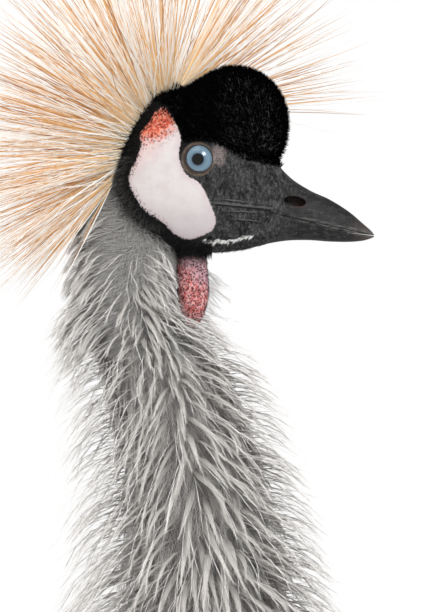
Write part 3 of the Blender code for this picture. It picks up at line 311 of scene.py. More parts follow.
class HeadForm:
    """The head and bill, as sections across X."""

    rows = HEAD_STATIONS

    @classmethod
    def point(cls, share: np.ndarray, turn: np.ndarray, grow: float = 0.0) -> np.ndarray:
        """Points on the surface, where turn 0 is the top and 90 degrees is +Y.

        Args:
            share: places from the nape to the bill's tip, 0 to 1.
            turn: directions round the section, in radians.
            grow: height over the surface, in millimetres.

        Returns:
            The points, in metres.
        """
        share, turn = np.broadcast_arrays(np.asarray(share, float), np.asarray(turn, float))
        x, top, bottom, half, level, upper, lower = curve_through(cls.rows, share).T
        across, rise = np.sin(turn), np.cos(turn)
        power = 2 / np.where(rise > 0, upper, lower)
        reach = np.where(rise > 0, top - level, level - bottom) + grow
        y = (half + grow) * np.sign(across) * np.abs(across) ** power
        z = level + reach * np.sign(rise) * np.abs(rise) ** power
        return place(np.stack((x, y, z), 1))

    @classmethod
    def grid(cls, lengths: int, sides: int, grow: float = 0.0) -> np.ndarray:
        """Rings of points from the nape to the tip.

        Args:
            lengths: how many steps there are along the form.
            sides: points round each ring.
            grow: height over the surface, in millimetres.

        Returns:
            The rings' points in metres, by ring and side.
        """
        rings = cls.point(*lattice(lengths, sides), grow).reshape(lengths + 1, sides, 3)
        rings[0, :, 0] -= grow * MM
        rings[-1, :, 0] += grow * MM
        return rings

    @classmethod
    def _sections(cls, x: np.ndarray) -> np.ndarray:
        """The numbers of the sections at these places along X, by number."""
        share = np.interp(x, [row[0] for row in cls.rows], np.linspace(0, 1, len(cls.rows)))
        return curve_through(cls.rows, share).T

    @classmethod
    def aside(cls, x: np.ndarray, z: np.ndarray) -> np.ndarray:
        """How far out the head's side is at these places, in millimetres.

        Args:
            x: places ahead of the eyes, in millimetres.
            z: places above the eyes, in millimetres.

        Returns:
            The distance from the mirror plane at each place.
        """
        _, top, bottom, half, level, upper, lower = cls._sections(x)
        rise = np.where(z > level, top - level, level - bottom)
        power = np.where(z > level, upper, lower)
        return half * np.maximum(1 - np.abs((z - level) / rise) ** power, 0) ** (1 / power)

    @classmethod
    def depth(cls, points: np.ndarray) -> np.ndarray:
        """How deep points in millimetres lie in the head: over 1 is outside it.

        Args:
            points: places from the middle of the eyes.

        Returns:
            The depth of each place, 1 on the surface.
        """
        x, y, z = points.T
        _, top, bottom, half, level, upper, _ = cls._sections(x)
        rise = np.where(z > level, top - level, level - bottom)
        deep = (np.abs(y / half) ** upper + np.abs((z - level) / rise) ** upper)
        return np.where((x < cls.rows[0][0]) | (x > cls.rows[-1][0]), 9.0, deep)


class CapForm:
    """The velvet cushion on the forehead, as reaches round its centre."""

    @staticmethod
    def reach(angle: np.ndarray) -> np.ndarray:
        """The reach in millimetres at angles in degrees, evened out round the form.

        Args:
            angle: directions from the centre, 0 ahead and 90 above.

        Returns:
            The reach in each direction.
        """
        angles, reaches = zip(*CAP_REACH)
        near = [np.interp((angle + turn + 180) % 360 - 180, angles, reaches)
                for turn in (-14, -7, 0, 7, 14)]
        return np.average(near, axis=0, weights=(1, 3, 4, 3, 1))

    @classmethod
    def grid(cls, turns: int, arcs: int, grow: float = 0.0) -> np.ndarray:
        """Rings of points from the right side of the form to the left.

        Args:
            turns: points round each ring.
            arcs: how many steps there are across.
            grow: height over the surface, in millimetres.

        Returns:
            The rings' points in metres, by ring and side.
        """
        lift = np.repeat(np.pi * np.arange(1, arcs) / arcs - np.pi / 2, turns)
        angle = np.tile(-180 + 360 * np.arange(turns) / turns, arcs - 1)
        flat = (cls.reach(angle) + grow) * np.cos(lift) ** 0.8
        turn = np.radians(angle)
        x = CAP_CENTRE[0] + flat * np.cos(turn)
        z = CAP_CENTRE[1] + flat * np.sin(turn)
        y = (CAP_HALF_WIDTH + grow) * np.sin(lift)
        return place(np.stack((x, y, z), 1)).reshape(arcs - 1, turns, 3)

    @classmethod
    def depth(cls, points: np.ndarray, clear: float) -> np.ndarray:
        """How deep points lie in the form, grown by some millimetres: over 1 is outside it.

        Args:
            points: places in millimetres from the middle of the eyes.
            clear: how much the form is grown.

        Returns:
            The depth of each place, 1 on the grown surface.
        """
        dx, dz = points[:, 0] - CAP_CENTRE[0], points[:, 2] - CAP_CENTRE[1]
        reach = cls.reach(np.degrees(np.arctan2(dz, dx))) + clear
        return (np.hypot(dx, dz) / reach) ** 2 + (points[:, 1] / (CAP_HALF_WIDTH + clear)) ** 2


class Tree:
    """A node tree that is built by one method for any node."""

    def __init__(self, tree: bpy.types.NodeTree) -> None:
        """Takes over an empty node tree."""
        self.tree = tree

    def node(self, kind: str, settings: dict | None = None,
             sockets: dict | None = None) -> bpy.types.Node:
        """Adds a node.

        Args:
            kind: the node's type.
            settings: its properties, set first; "stops" holds a ramp's places and colours.
            sockets: values or wires by input name or number.

        Returns:
            The node.
        """
        made = self.tree.nodes.new(kind)
        for name, value in (settings or {}).items():
            if name == "stops":
                self._set_stops(made.color_ramp, value)
            else:
                setattr(made, name, value)
        for key, value in (sockets or {}).items():
            self.feed(made.inputs[key], value)
        return made

    @staticmethod
    def _set_stops(ramp: bpy.types.ColorRamp, stops: list) -> None:
        """Gives a ramp its places and colours.

        Args:
            ramp: the ramp.
            stops: pairs of a place, 0 to 1, and a colour.
        """
        while len(ramp.elements) < len(stops):
            ramp.elements.new(1.0)
        for element, (at, colour) in zip(ramp.elements, stops):
            element.position = at
            element.color = (*colour, 1.0) if len(colour) == 3 else colour

    def feed(self, socket: bpy.types.NodeSocket, value: object) -> None:
        """Links a wire into a socket, or sets its value.

        Args:
            socket: the input socket.
            value: a wire, a socket, a number or a colour.
        """
        if isinstance(value, Wire):
            self.tree.links.new(value.socket, socket)
        elif isinstance(value, bpy.types.NodeSocket):
            self.tree.links.new(value, socket)
        elif value is not None:
            if hasattr(socket.default_value, "__len__") and len(socket.default_value) == 4:
                value = (*value, 1.0) if len(value) == 3 else value
            socket.default_value = value


class Wire:
    """A number on its way through a shader, with operators that add Math nodes."""

    def __init__(self, graph: "Graph", socket: bpy.types.NodeSocket) -> None:
        """Wraps an output socket."""
        self.graph = graph
        self.socket = socket

    def _math(self, operation: str, *values: object) -> "Wire":
        """Adds one Math node on the values.

        Args:
            operation: what the node does.
            values: its wires and numbers, in order.

        Returns:
            The result.
        """
        made = self.graph.node("ShaderNodeMath", {"operation": operation},
                               dict(enumerate(values)))
        return Wire(self.graph, made.outputs[0])

    def __add__(self, other: object) -> "Wire":
        """The sum."""
        return self._math("ADD", self, other)

    def __radd__(self, other: object) -> "Wire":
        """The sum, reflected."""
        return self._math("ADD", other, self)

    def __sub__(self, other: object) -> "Wire":
        """The difference."""
        return self._math("SUBTRACT", self, other)

    def __rsub__(self, other: object) -> "Wire":
        """The difference, reflected."""
        return self._math("SUBTRACT", other, self)

    def __mul__(self, other: object) -> "Wire":
        """The product."""
        return self._math("MULTIPLY", self, other)

    def __truediv__(self, other: object) -> "Wire":
        """The quotient."""
        return self._math("DIVIDE", self, other)

    def __pow__(self, other: object) -> "Wire":
        """The power."""
        return self._math("POWER", self, other)

    def sine(self) -> "Wire":
        """The sine."""
        return self._math("SINE", self)

    def size(self) -> "Wire":
        """The value without its sign."""
        return self._math("ABSOLUTE", self)

    def clear_of(self, low: float, high: float) -> "Wire":
        """A smooth step that is 0 below low and 1 above high.

        Args:
            low: where the step starts.
            high: where it ends.

        Returns:
            The step.
        """
        made = self.graph.node("ShaderNodeMapRange", {"interpolation_type": "SMOOTHSTEP"},
                               {0: self, 1: low, 2: high})
        return Wire(self.graph, made.outputs[0])


class Graph(Tree):
    """A material's shader tree."""

    def __init__(self, name: str) -> None:
        """Starts a material with one Principled BSDF.

        Args:
            name: the material's name.
        """
        self.material = bpy.data.materials.new(name)
        self.material.use_nodes = True
        super().__init__(self.material.node_tree)
        self.shader = self.tree.nodes["Principled BSDF"]

    def attribute(self, name: str) -> Wire:
        """A number that the mesh carries at each vertex."""
        made = self.node("ShaderNodeAttribute", {"attribute_name": name})
        return Wire(self, made.outputs["Fac"])

    def position(self) -> bpy.types.NodeSocket:
        """Object coordinates, which are the row frame in metres."""
        return self.node("ShaderNodeTexCoord").outputs["Object"]

    def axes(self) -> tuple:
        """X, Y and Z in millimetres from the middle of the eyes.

        Returns:
            The three, as wires.
        """
        shifted = self.node("ShaderNodeMapping", {"vector_type": "POINT"},
                            {"Vector": self.position(), "Location": tuple(-EYE / MM),
                             "Scale": (1 / MM,) * 3})
        split = self.node("ShaderNodeSeparateXYZ", None, {0: shifted.outputs[0]})
        return tuple(Wire(self, out) for out in split.outputs)

    def stretched(self, stretch: tuple) -> bpy.types.NodeSocket:
        """Object coordinates, drawn out along each axis."""
        return self.node("ShaderNodeMapping", None,
                         {"Vector": self.position(), "Scale": stretch}).outputs[0]

    def noise(self, scale: float, detail: float = 3.0, stretch: tuple = (1, 1, 1)) -> Wire:
        """Soft noise over the bird.

        Args:
            scale: lumps to the metre.
            detail: how many finer layers it has.
            stretch: what each axis is multiplied by.

        Returns:
            The noise, 0 to 1.
        """
        made = self.node("ShaderNodeTexNoise", None,
                         {"Vector": self.stretched(stretch), "Scale": scale,
                          "Detail": detail, "Roughness": 0.55})
        return Wire(self, made.outputs[0])

    def dots(self, scale: float, stretch: tuple = (1, 1, 1)) -> Wire:
        """The distance to points scattered over the bird.

        Args:
            scale: points to the metre.
            stretch: what each axis is multiplied by.

        Returns:
            The distance to the nearest point, where 1 is from one to the next.
        """
        made = self.node("ShaderNodeTexVoronoi", None,
                         {"Vector": self.stretched(stretch), "Scale": scale})
        return Wire(self, made.outputs["Distance"])

    def mix(self, factor: object, first: object, second: object) -> bpy.types.NodeSocket:
        """A colour between two.

        Args:
            factor: 0 for the first and 1 for the second.
            first: a colour or its socket.
            second: a colour or its socket.

        Returns:
            The colour's socket.
        """
        made = self.node("ShaderNodeMix", {"data_type": "RGBA"},
                         {0: factor, 6: first, 7: second})
        return made.outputs[2]

    def ramp(self, value: object, stops: list) -> bpy.types.NodeSocket:
        """A colour read from stops."""
        return self.node("ShaderNodeValToRGB", {"stops": stops}, {0: value}).outputs[0]

    def bump(self, height: Wire, depth: float, strength: float = 1.0) -> None:
        """Raises the surface by a height.

        Args:
            height: the height, 0 to 1.
            depth: the height's full size, in metres.
            strength: how much of it shows.
        """
        made = self.node("ShaderNodeBump", None,
                         {"Height": height, "Distance": depth, "Strength": strength})
        self.feed(self.shader.inputs["Normal"], made.outputs[0])

    def finish(self, colour: object, rough: object, **fixed: float) -> bpy.types.Material:
        """Feeds the shader and gives back the material.

        Args:
            colour: a colour or its socket.
            rough: roughness, as a number or wire.
            fixed: constant values of other sockets, with spaces as underscores.

        Returns:
            The material.
        """
        self.feed(self.shader.inputs["Base Color"], colour)
        self.feed(self.shader.inputs["Roughness"], rough)
        for name, value in fixed.items():
            self.shader.inputs[name.replace("_", " ")].default_value = value
        return self.material


def face_tone(g: Graph) -> object:
    """The mottled charcoal of the face, which the bill's base shares.

    Args:
        g: the shader tree that it is added to.

    Returns:
        The colour's socket.
    """
    cloud, grain = g.noise(160, 4), g.noise(760, 4, (1, 1, 0.5))
    specks = 1 - g.dots(980).clear_of(0.12, 0.42)
    tone = g.mix(cloud.clear_of(0.35, 0.7) * 0.34 + grain.clear_of(0.40, 0.64) * 0.42,
                 (0.007, 0.007, 0.0075), (0.092, 0.092, 0.094))
    return g.mix(specks * grain.clear_of(0.42, 0.60) * 0.45, tone, (0.24, 0.24, 0.245))


@dataclass(frozen=True)
class HornFinish:
    """Charcoal bill horn with fine scratches and a paler, worn tip."""

    colour: tuple = (0.0055, 0.0055, 0.0058)
    worn: tuple = (0.030, 0.029, 0.029)
    tip: tuple = (0.085, 0.066, 0.060)

    def build(self) -> bpy.types.Material:
        """Builds the material of the bill.

        Returns:
            The material.
        """
        g = Graph("bill horn")
        x, _, z = g.axes()
        mottle = g.noise(300, 5, (1, 1, 1.6))
        streaks = g.noise(900, 3, (0.22, 1, 1.4))
        base = g.mix(mottle.clear_of(0.42, 0.72), self.colour, self.worn)
        base = g.mix(streaks.clear_of(0.58, 0.76) * 0.6, base, self.worn)
        specks = 1 - g.dots(760).clear_of(0.08, 0.34)
        base = g.mix(specks * mottle.clear_of(0.40, 0.62) * 0.34, base, (0.22, 0.21, 0.20))
        base = g.mix(x.clear_of(76, 91) * 0.7, base, self.tip)
        # Painted highlight streaks both cutting edges; painted shade darkens the mouth line
        # itself.
        off = (z + 24.6 + (x - 26) * 0.215).size()
        edge = (1 - off.clear_of(0.4, 2.6)) * streaks.clear_of(0.35, 0.62)
        base = g.mix(edge * x.clear_of(40, 60) * 0.55, base, (0.16, 0.155, 0.15))
        base = g.mix(1 - off.clear_of(0.1, 0.5), base, (0.003, 0.003, 0.003))
        hole = (((x - 50.2) / 6.6) ** 2 + ((z + 21.4 + (x - 50.2) * 0.14) / 3.4) ** 2) ** 0.5
        base = g.mix(1 - hole.clear_of(0.82, 1.0), base, (0.030, 0.010, 0.008))
        # Towards its base the horn is as dull and grainy as the face it grows from.
        dull = 1 - (x - 43.6 - (z - 4) * 0.19).clear_of(1, 17)
        grain = g.noise(1400, 3).clear_of(0.35, 0.75)
        base = g.mix(dull, base, face_tone(g))
        g.bump(mottle * 0.7 + streaks * 0.6 - specks * 0.3 + dull * grain * 0.5, 0.0005, 0.6)
        return g.finish(base, 0.42 + mottle * 0.2 + dull * 0.3, Specular_IOR_Level=0.27)


@dataclass(frozen=True)
class SkinFinish:
    """The bird's skin: dark face, white cheek with red top, wattle, and dark down below.

    The mouth's crease and each fold beside it are painted shade, with a painted highlight
    above each; they have a height, a slope, the x where they start and stop, and a half
    width, in millimetres.
    """

    cheek: tuple = (0.69, 0.652, 0.65)
    cheek_shade: tuple = (0.60, 0.53, 0.535)
    red: tuple = (0.56, 0.085, 0.05)
    lid: tuple = (0.075, 0.056, 0.045)
    wattle: tuple = (0.68, 0.155, 0.15)
    down: tuple = (0.30, 0.29, 0.28)
    folds: tuple = ((-23.4, -0.10, 5, 44, 0.55), (-20.8, -0.13, 10, 30, 0.35),
                    (-26.9, -0.05, 12, 34, 0.35), (-30.6, -0.08, 16, 36, 0.30))

    def build(self) -> bpy.types.Material:
        """Builds the material of the skin, by its marks.

        Returns:
            The material.
        """
        g = Graph("skin")
        x, _, z = g.axes()
        grain = g.noise(1400, 3)
        cloud = g.noise(160, 4)
        specks = 1 - g.dots(950).clear_of(0.08, 0.34)
        base = face_tone(g)
        # The black band behind the cheek is darker than the face in front of it.
        band = 1 - (x + z * 0.2).clear_of(-16, 2)
        base = g.mix(band * 0.9, base, (0.005, 0.005, 0.0055))
        brow = (z - x * 0.4).clear_of(3, 8) * (1 - x.clear_of(8, 16))
        base = g.mix(brow, base, (0.003, 0.003, 0.003))
        base = self._paint_fold_shading(g, base, x, z)
        base = self._eye_ring(g, base, x, z)
        base = self._cheek(g, base, x, z, cloud)
        wattle = g.attribute("wattle").clear_of(-0.8, 0.6)
        pits = 1 - g.dots(860).clear_of(0.27, 0.46)
        red = g.mix(g.noise(420, 3).clear_of(0.38, 0.62), self.wattle, (0.86, 0.44, 0.43))
        lilac = (z + (x + 3) * 0.8 + g.noise(300, 3) * 14 - 7).clear_of(-66, -54)
        red = g.mix(lilac * 0.7, red, (0.50, 0.36, 0.42))
        top_dark = (z + g.noise(500, 3) * 8 - 4).clear_of(-58, -48)
        red = g.mix(pits * 0.88, red, (0.05, 0.012, 0.014))
        red = g.mix(top_dark, red, (0.012, 0.010, 0.010))
        base = g.mix(wattle, base, red)
        down = 1 - g.attribute("face").clear_of(-1.5, 0.5)
        base = g.mix(down * (1 - wattle), base, self.down)
        rough = 0.78 - g.attribute("cheek").clear_of(-0.4, 0.8) * 0.22
        g.bump(grain * 0.5 + specks * 0.35 + pits * wattle * -0.9, 0.0005, 0.7)
        return g.finish(base, rough, Specular_IOR_Level=0.2)

    def _paint_fold_shading(self, g: Graph, base: object, x: Wire, z: Wire) -> object:
        """Lays painted shade in the mouth's crease and the folds beside it, with a painted
        highlight above each, over the face's colour.

        Args:
            g: the skin's shader tree.
            base: the colour underneath.
            x: how far ahead of the eyes, in millimetres.
            z: how far above the eyes, in millimetres.

        Returns:
            The colour with the folds.
        """
        sway = g.noise(210, 3) * 1.6 - 0.8
        for rise, slope, start, stop, width in self.folds:
            off = z - rise - (x - 12) * slope + sway
            along = x.clear_of(start, start + 6) * (1 - x.clear_of(stop - 8, stop))
            # A painted highlight along the fold, above its crease.
            light = (1 - (off - width * 1.9).size().clear_of(0.2, width * 1.8)) * along
            base = g.mix(light * 0.55, base, (0.13, 0.13, 0.132))
            # Painted shade in the crease itself.
            dark = (1 - off.size().clear_of(width * 0.5, width * 1.3)) * along
            base = g.mix(dark * 0.9, base, (0.004, 0.004, 0.004))
        return base

    def _cheek(self, g: Graph, base: object, x: Wire, z: Wire, cloud: Wire) -> object:
        """Lays the white cheek and its red top over the face's colour.

        Args:
            g: the skin's shader tree.
            base: the colour underneath.
            x: how far ahead of the eyes, in millimetres.
            z: how far above the eyes, in millimetres.
            cloud: the soft noise that mottles it.

        Returns:
            The colour with the cheek.
        """
        inside = g.attribute("cheek")
        white = g.mix(cloud.clear_of(0.35, 0.75) * 0.6, self.cheek, self.cheek_shade)
        # Painted shade darkens the cheek towards its bottom.
        white = g.mix((1 - z.clear_of(-36, -16)) * 0.55, white, (0.52, 0.475, 0.48))
        rim = 1 - inside.clear_of(0.0, 5.0)
        white = g.mix(rim * 0.35, white, (0.60, 0.44, 0.48))
        pores = 1 - g.dots(700).clear_of(0.10, 0.22)
        white = g.mix(pores * 0.18 * (1 - z.clear_of(-30, 6)), white, (0.42, 0.30, 0.33))
        # The red spreads down from the top of the cheek and breaks up into spots.
        along = (x + 21.6) * 0.83 + (z - 19.2) * 0.56
        over = (z - 19.2) * 0.83 - (x + 21.6) * 0.56
        reach = (along * along * 0.50 + over * over * 1.45) ** 0.5
        ragged = reach + g.noise(420, 4) * 16 - 8
        red = 1 - ragged.clear_of(6.0, 12.5)
        flush = 1 - (reach + (x + 22) * 0.5).clear_of(7, 26)
        white = g.mix(flush * 0.30, white, (0.80, 0.40, 0.36))
        colour = g.mix(red, white, g.mix(g.noise(620).clear_of(0.4, 0.62), self.red,
                                         (0.84, 0.30, 0.20)))
        # Black specks crowd the edges of the red and thin out down the rear edge.
        near = 1 - (reach - 4).clear_of(4.0, 13.0)
        edge = (1 - inside.clear_of(0.4, 3.6)) * (1 - x.clear_of(-22, -10))
        black = (1 - g.dots(760).clear_of(0.24, 0.42)) * (near * 0.9 + edge)
        colour = g.mix(black, colour, (0.035, 0.018, 0.018))
        frayed = inside + g.noise(900, 3) * 2.2 - 1.3
        return g.mix(frayed.clear_of(-0.3, 0.3), base, colour)

    def _eye_ring(self, g: Graph, base: object, x: Wire, z: Wire) -> object:
        """Lays the brown lids and the pale patch before the eye over the face's colour.

        Args:
            g: the skin's shader tree.
            base: the colour underneath.
            x: how far ahead of the eyes, in millimetres.
            z: how far above the eyes, in millimetres.

        Returns:
            The colour with the lids and patch.
        """
        out = (x * x + z * z * 0.92) ** 0.5
        ring = 1 - out.clear_of(8.0, 9.0)
        inner = 1 - out.clear_of(6.9, 7.8)
        lids = g.mix(g.noise(700).clear_of(0.35, 0.7), self.lid, (0.15, 0.11, 0.088))
        base = g.mix(ring * 0.92, base, lids)
        base = g.mix(inner * 0.8, base, (0.03, 0.02, 0.018))
        away = ((x - 10.8) * (x - 10.8) * 0.9 + (z - 2.2) * (z - 2.2) * 0.40) ** 0.5
        pale = 1 - (away + g.noise(420, 3) * 5 - 2.5).clear_of(1.2, 5.0)
        grain = g.noise(900, 3).clear_of(0.35, 0.65)
        return g.mix(pale * (0.30 + grain * 0.45), base, (0.31, 0.25, 0.24))


@dataclass(frozen=True)
class EyeFinish:
    """A wet, pale blue eye with a dark pupil and a darker rim."""

    iris_radius: float = 7.6
    pupil_radius: float = 3.0

    def build(self) -> bpy.types.Material:
        """Builds the material of the eye, by the distance from its middle.

        Returns:
            The material.
        """
        g = Graph("eye")
        x, _, z = g.axes()
        out = (x * x + z * z) ** 0.5
        spokes = g.noise(1500, 3)
        share = (out - self.pupil_radius) / (self.iris_radius - self.pupil_radius)
        iris = g.ramp(share + spokes * 0.16 - 0.08,
                      [(0.0, (0.03, 0.05, 0.075)), (0.14, (0.10, 0.165, 0.23)),
                       (0.5, (0.155, 0.245, 0.32)), (0.84, (0.115, 0.185, 0.25)),
                       (1.0, (0.012, 0.018, 0.027))])
        rings = (out * 9 + spokes * 3).sine() * 0.5 + 0.5
        iris = g.mix(rings * 0.20, iris, (0.27, 0.38, 0.46))
        pupil = 1 - out.clear_of(self.pupil_radius - 0.22, self.pupil_radius + 0.18)
        colour = g.mix(pupil, iris, (0.002, 0.002, 0.003))
        colour = g.mix(out.clear_of(7.3, 7.8), colour, (0.015, 0.012, 0.012))
        return g.finish(colour, 0.25, Coat_Weight=0.7, Coat_Roughness=0.02,
                        Specular_IOR_Level=0.0)


@dataclass(frozen=True)
class TuftFinish:
    """Fine feather strands, each a little unlike: paler to the tip, and darker at the root, where
    the dark paints the shade among the strands.
    """

    name: str
    root: tuple
    middle: tuple
    tip: tuple
    rough: float = 0.7
    variety: float = 0.35
    gloss: float = 0.25
    dusk: tuple = (0.012, 0.012, 0.012)

    def build(self) -> bpy.types.Material:
        """Builds the material of the tufts.

        Returns:
            The material.
        """
        g = Graph(self.name)
        along, tint = g.attribute("along"), g.attribute("tint")
        # The ramp's darker root paints the shade down among the strands.
        colour = g.ramp(along, [(0.0, self.root), (0.5, self.middle), (1.0, self.tip)])
        colour = g.mix(g.attribute("dusk"), colour, self.dusk)
        dark = tuple(c * 0.42 for c in self.middle)
        colour = g.mix((1 - tint) * self.variety, colour, dark)
        colour = g.mix(g.noise(90, 2).clear_of(0.45, 0.75) * self.variety * 0.6, colour, dark)
        return g.finish(colour, self.rough, Specular_IOR_Level=self.gloss)


@dataclass(frozen=True)
class BristleFinish:
    """Straw-gold bristles: pale gold at the root, brown in streaks towards the tip."""

    def build(self) -> bpy.types.Material:
        """Builds the material of the bristles.

        Returns:
            The material.
        """
        g = Graph("crest bristles")
        along, tint = g.attribute("along"), g.attribute("tint")
        gold = g.ramp(along, [(0.0, (1.0, 0.82, 0.56)), (0.22, (0.93, 0.62, 0.31)),
                              (0.6, (0.82, 0.46, 0.18)), (1.0, (0.62, 0.32, 0.13))])
        pale = g.ramp(along, [(0.0, (1.0, 0.95, 0.86)), (0.25, (1.0, 1.0, 0.98)),
                              (0.85, (1.0, 0.98, 0.93)), (1.0, (0.88, 0.70, 0.52))])
        colour = g.mix(1 - tint.clear_of(0.50, 0.54), gold, pale)
        brown = tint.clear_of(0.84, 0.88)
        colour = g.mix(brown * along.clear_of(0.10, 0.4), colour, (0.42, 0.19, 0.065))
        return g.finish(colour, 0.5, Specular_IOR_Level=0.4)


@dataclass(frozen=True)
class PlumeFinish:
    """Vaned feathers with a shaft, slanting barbs and a colour that changes to the tip."""

    name: str
    root: tuple
    tip: tuple
    shaft: tuple
    rough: float = 0.65
    barbs: float = 140.0

    def build(self) -> bpy.types.Material:
        """Builds the material of the plumes.

        Returns:
            The material.
        """
        g = Graph(self.name)
        along, across, tint = (g.attribute(n) for n in ("along", "across", "tint"))
        colour = g.mix(along.clear_of(0.15, 0.9), self.root, self.tip)
        lines = ((along * self.barbs - across.size() * self.barbs * 0.22).sine() * 0.5 + 0.5)
        dark = tuple(c * 0.55 for c in self.root)
        colour = g.mix(lines * 0.22 + (1 - tint) * 0.25, colour, dark)
        shaft = 1 - across.size().clear_of(0.03, 0.09)
        colour = g.mix(shaft * 0.7, colour, self.shaft)
        g.bump(lines * 0.5 + shaft, 0.0004, 0.5)
        return g.finish(colour, self.rough, Specular_IOR_Level=0.3)


@dataclass(frozen=True)
class ScaleFinish:
    """Black scaled leg skin with greyish wear on the raised scutes."""

    def build(self) -> bpy.types.Material:
        """Builds the material of the legs' scales.

        Returns:
            The material.
        """
        g = Graph("leg scales")
        cells = g.dots(520, (1, 1, 0.75))
        wear = g.noise(260, 4)
        base = g.mix(wear.clear_of(0.45, 0.75), (0.020, 0.020, 0.021), (0.085, 0.083, 0.080))
        base = g.mix((1 - cells.clear_of(0.0, 0.35)) * 0.25, base, (0.12, 0.118, 0.115))
        g.bump(cells.clear_of(0.0, 0.5) * -0.6 + wear * 0.4, 0.0006, 0.7)
        return g.finish(base, 0.48 + wear * 0.25)


@dataclass(frozen=True)
class ClawFinish:
    """Black horn with a slight polish."""

    def build(self) -> bpy.types.Material:
        """Builds the material of the claws.

        Returns:
            The material.
        """
        g = Graph("claw horn")
        streaks = g.noise(700, 3, (0.4, 1, 1))
        base = g.mix(streaks.clear_of(0.5, 0.8), (0.010, 0.010, 0.010), (0.05, 0.045, 0.04))
        g.bump(streaks, 0.0002, 0.5)
        return g.finish(base, 0.3 + streaks * 0.2)


@dataclass(frozen=True)
class FloorFinish:
    """A plain pale studio floor."""

    def build(self) -> bpy.types.Material:
        """The material."""
        g = Graph("studio floor")
        return g.finish((0.82, 0.82, 0.82), 0.8 + g.noise(2, 2) * 0.1)


def in_scene(name: str, mesh: bpy.types.Mesh) -> bpy.types.Object:
    """A mesh as a new object in the scene.

    Args:
        name: the object's name.
        mesh: the mesh.

    Returns:
        The object.
    """
    made = bpy.data.objects.new(name, mesh)
    bpy.context.scene.collection.objects.link(made)
    return made


def store(mesh: bpy.types.Mesh, name: str, values: np.ndarray) -> None:
    """Stores a number at each vertex of a mesh."""
    layer = mesh.attributes.new(name, "FLOAT", "POINT")
    layer.data.foreach_set("value", values.astype(np.float32))


def unwrap(mesh: bpy.types.Mesh, corners: np.ndarray) -> None:
    """Stores bake coordinates at each corner of a mesh."""
    layer = mesh.uv_layers.new(name="OFBake")
    layer.data.foreach_set("uv", corners.astype(np.float32).ravel())


@dataclass
class Shape:
    """Points, triangles and the numbers that each point carries."""

    points: np.ndarray
    faces: np.ndarray
    marks: dict = field(default_factory=dict)

    def joined(self, other: "Shape") -> "Shape":
        """The two shapes as one.

        Args:
            other: a shape with the same marks.

        Returns:
            The joined shape.
        """
        marks = {name: np.concatenate((self.marks[name], other.marks[name]))
                 for name in self.marks}
        faces = np.concatenate((self.faces, other.faces + len(self.points)))
        return Shape(np.concatenate((self.points, other.points)), faces, marks)

    def to_object(self, name: str, smooth: bool = True) -> bpy.types.Object:
        """A mesh object, with OFBake coordinates where the shape has u and v.

        Args:
            name: the object's name.
            smooth: whether its faces shade smoothly.

        Returns:
            The object.
        """
        mesh = bpy.data.meshes.new(name)
        count = len(self.faces)
        mesh.vertices.add(len(self.points))
        mesh.vertices.foreach_set("co", self.points.astype(np.float32).ravel())
        mesh.loops.add(count * 3)
        mesh.loops.foreach_set("vertex_index", self.faces.astype(np.int32).ravel())
        mesh.polygons.add(count)
        mesh.polygons.foreach_set("loop_start", np.arange(0, 3 * count, 3, dtype=np.int32))
        mesh.polygons.foreach_set("use_smooth", np.full(count, smooth))
        mesh.update(calc_edges=True)
        for mark, values in self.marks.items():
            if mark not in ("u", "v"):
                store(mesh, mark, values)
        if "u" in self.marks:
            unwrap(mesh, np.stack((self.marks["u"], self.marks["v"]), 1)[self.faces.ravel()])
        return in_scene(name, mesh)


def lofted(rings: np.ndarray) -> Shape:
    """A closed body over rings of points, with a middle point on each end.

    Args:
        rings: points by ring and side.

    Returns:
        The body, with its faces turned outwards.
    """
    lengths, sides = rings.shape[:2]
    k = np.arange(sides)
    start = (np.arange(lengths - 1) * sides)[:, None]
    a, b = start + k, start + (k + 1) % sides
    faces = np.concatenate((np.stack((a, b, b + sides), -1).reshape(-1, 3),
                            np.stack((a, b + sides, a + sides), -1).reshape(-1, 3)))
    ends = lengths * sides
    last = (lengths - 1) * sides
    low = np.stack(((k + 1) % sides, k, np.full(sides, ends)), 1)
    high = np.stack((last + k, last + (k + 1) % sides, np.full(sides, ends + 1)), 1)
    points = np.concatenate((rings.reshape(-1, 3), rings[0].mean(0)[None],
                             rings[-1].mean(0)[None]))
    return facing_out(Shape(points, np.concatenate((faces, low, high))))


def facing_out(shape: Shape) -> Shape:
    """The shape with its faces turned outwards.

    Args:
        shape: a closed shape, which is changed.

    Returns:
        The same shape.
    """
    a, b, c = (shape.points[shape.faces[:, k]] - shape.points.mean(0) for k in range(3))
    if (a * np.cross(b, c)).sum() < 0:
        shape.faces = shape.faces[:, ::-1]
    return shape


def bent_paths(root: np.ndarray, start: np.ndarray, end: np.ndarray, length: np.ndarray,
               steps: int) -> np.ndarray:
    """Paths whose heading turns evenly from start to end.

    Args:
        root: first points, one row each.
        start: headings at the root.
        end: headings at the tip.
        length: lengths of the paths.
        steps: straight pieces in each path.

    Returns:
        Points, by path and place along it.
    """
    points = [root]
    for i in range(steps):
        t = (i + 0.5) / steps
        points.append(points[-1] + unit(start * (1 - t) + end * t) * column(length / steps))
    return np.stack(points, 1)


def repeated(points: np.ndarray, caps: list, sides: int) -> np.ndarray:
    """The faces of many like tubes that end in a point.

    Args:
        points: points, by tube: its rings from the root, then its tip.
        caps: the triangles that close the first ring.
        sides: points in a ring.

    Returns:
        The triangles of all the tubes, facing out.
    """
    count, each = points.shape[:2]
    tip = each - 1 - sides
    faces = list(caps)
    for start in range(0, tip, sides):
        for k in range(sides):
            a, b = start + k, start + (k + 1) % sides
            faces += [(a, b + sides, b), (a, a + sides, b + sides)]
    faces += [(tip + k, each - 1, tip + (k + 1) % sides) for k in range(sides)]
    faces = np.array(faces)
    a, b, c = (points[0][faces[:, k]] - points[0][0] for k in range(3))
    if (a * np.cross(b, c)).sum() < 0:
        faces = faces[:, ::-1]
    return (faces[None] + each * np.arange(count)[:, None, None]).reshape(-1, 3)


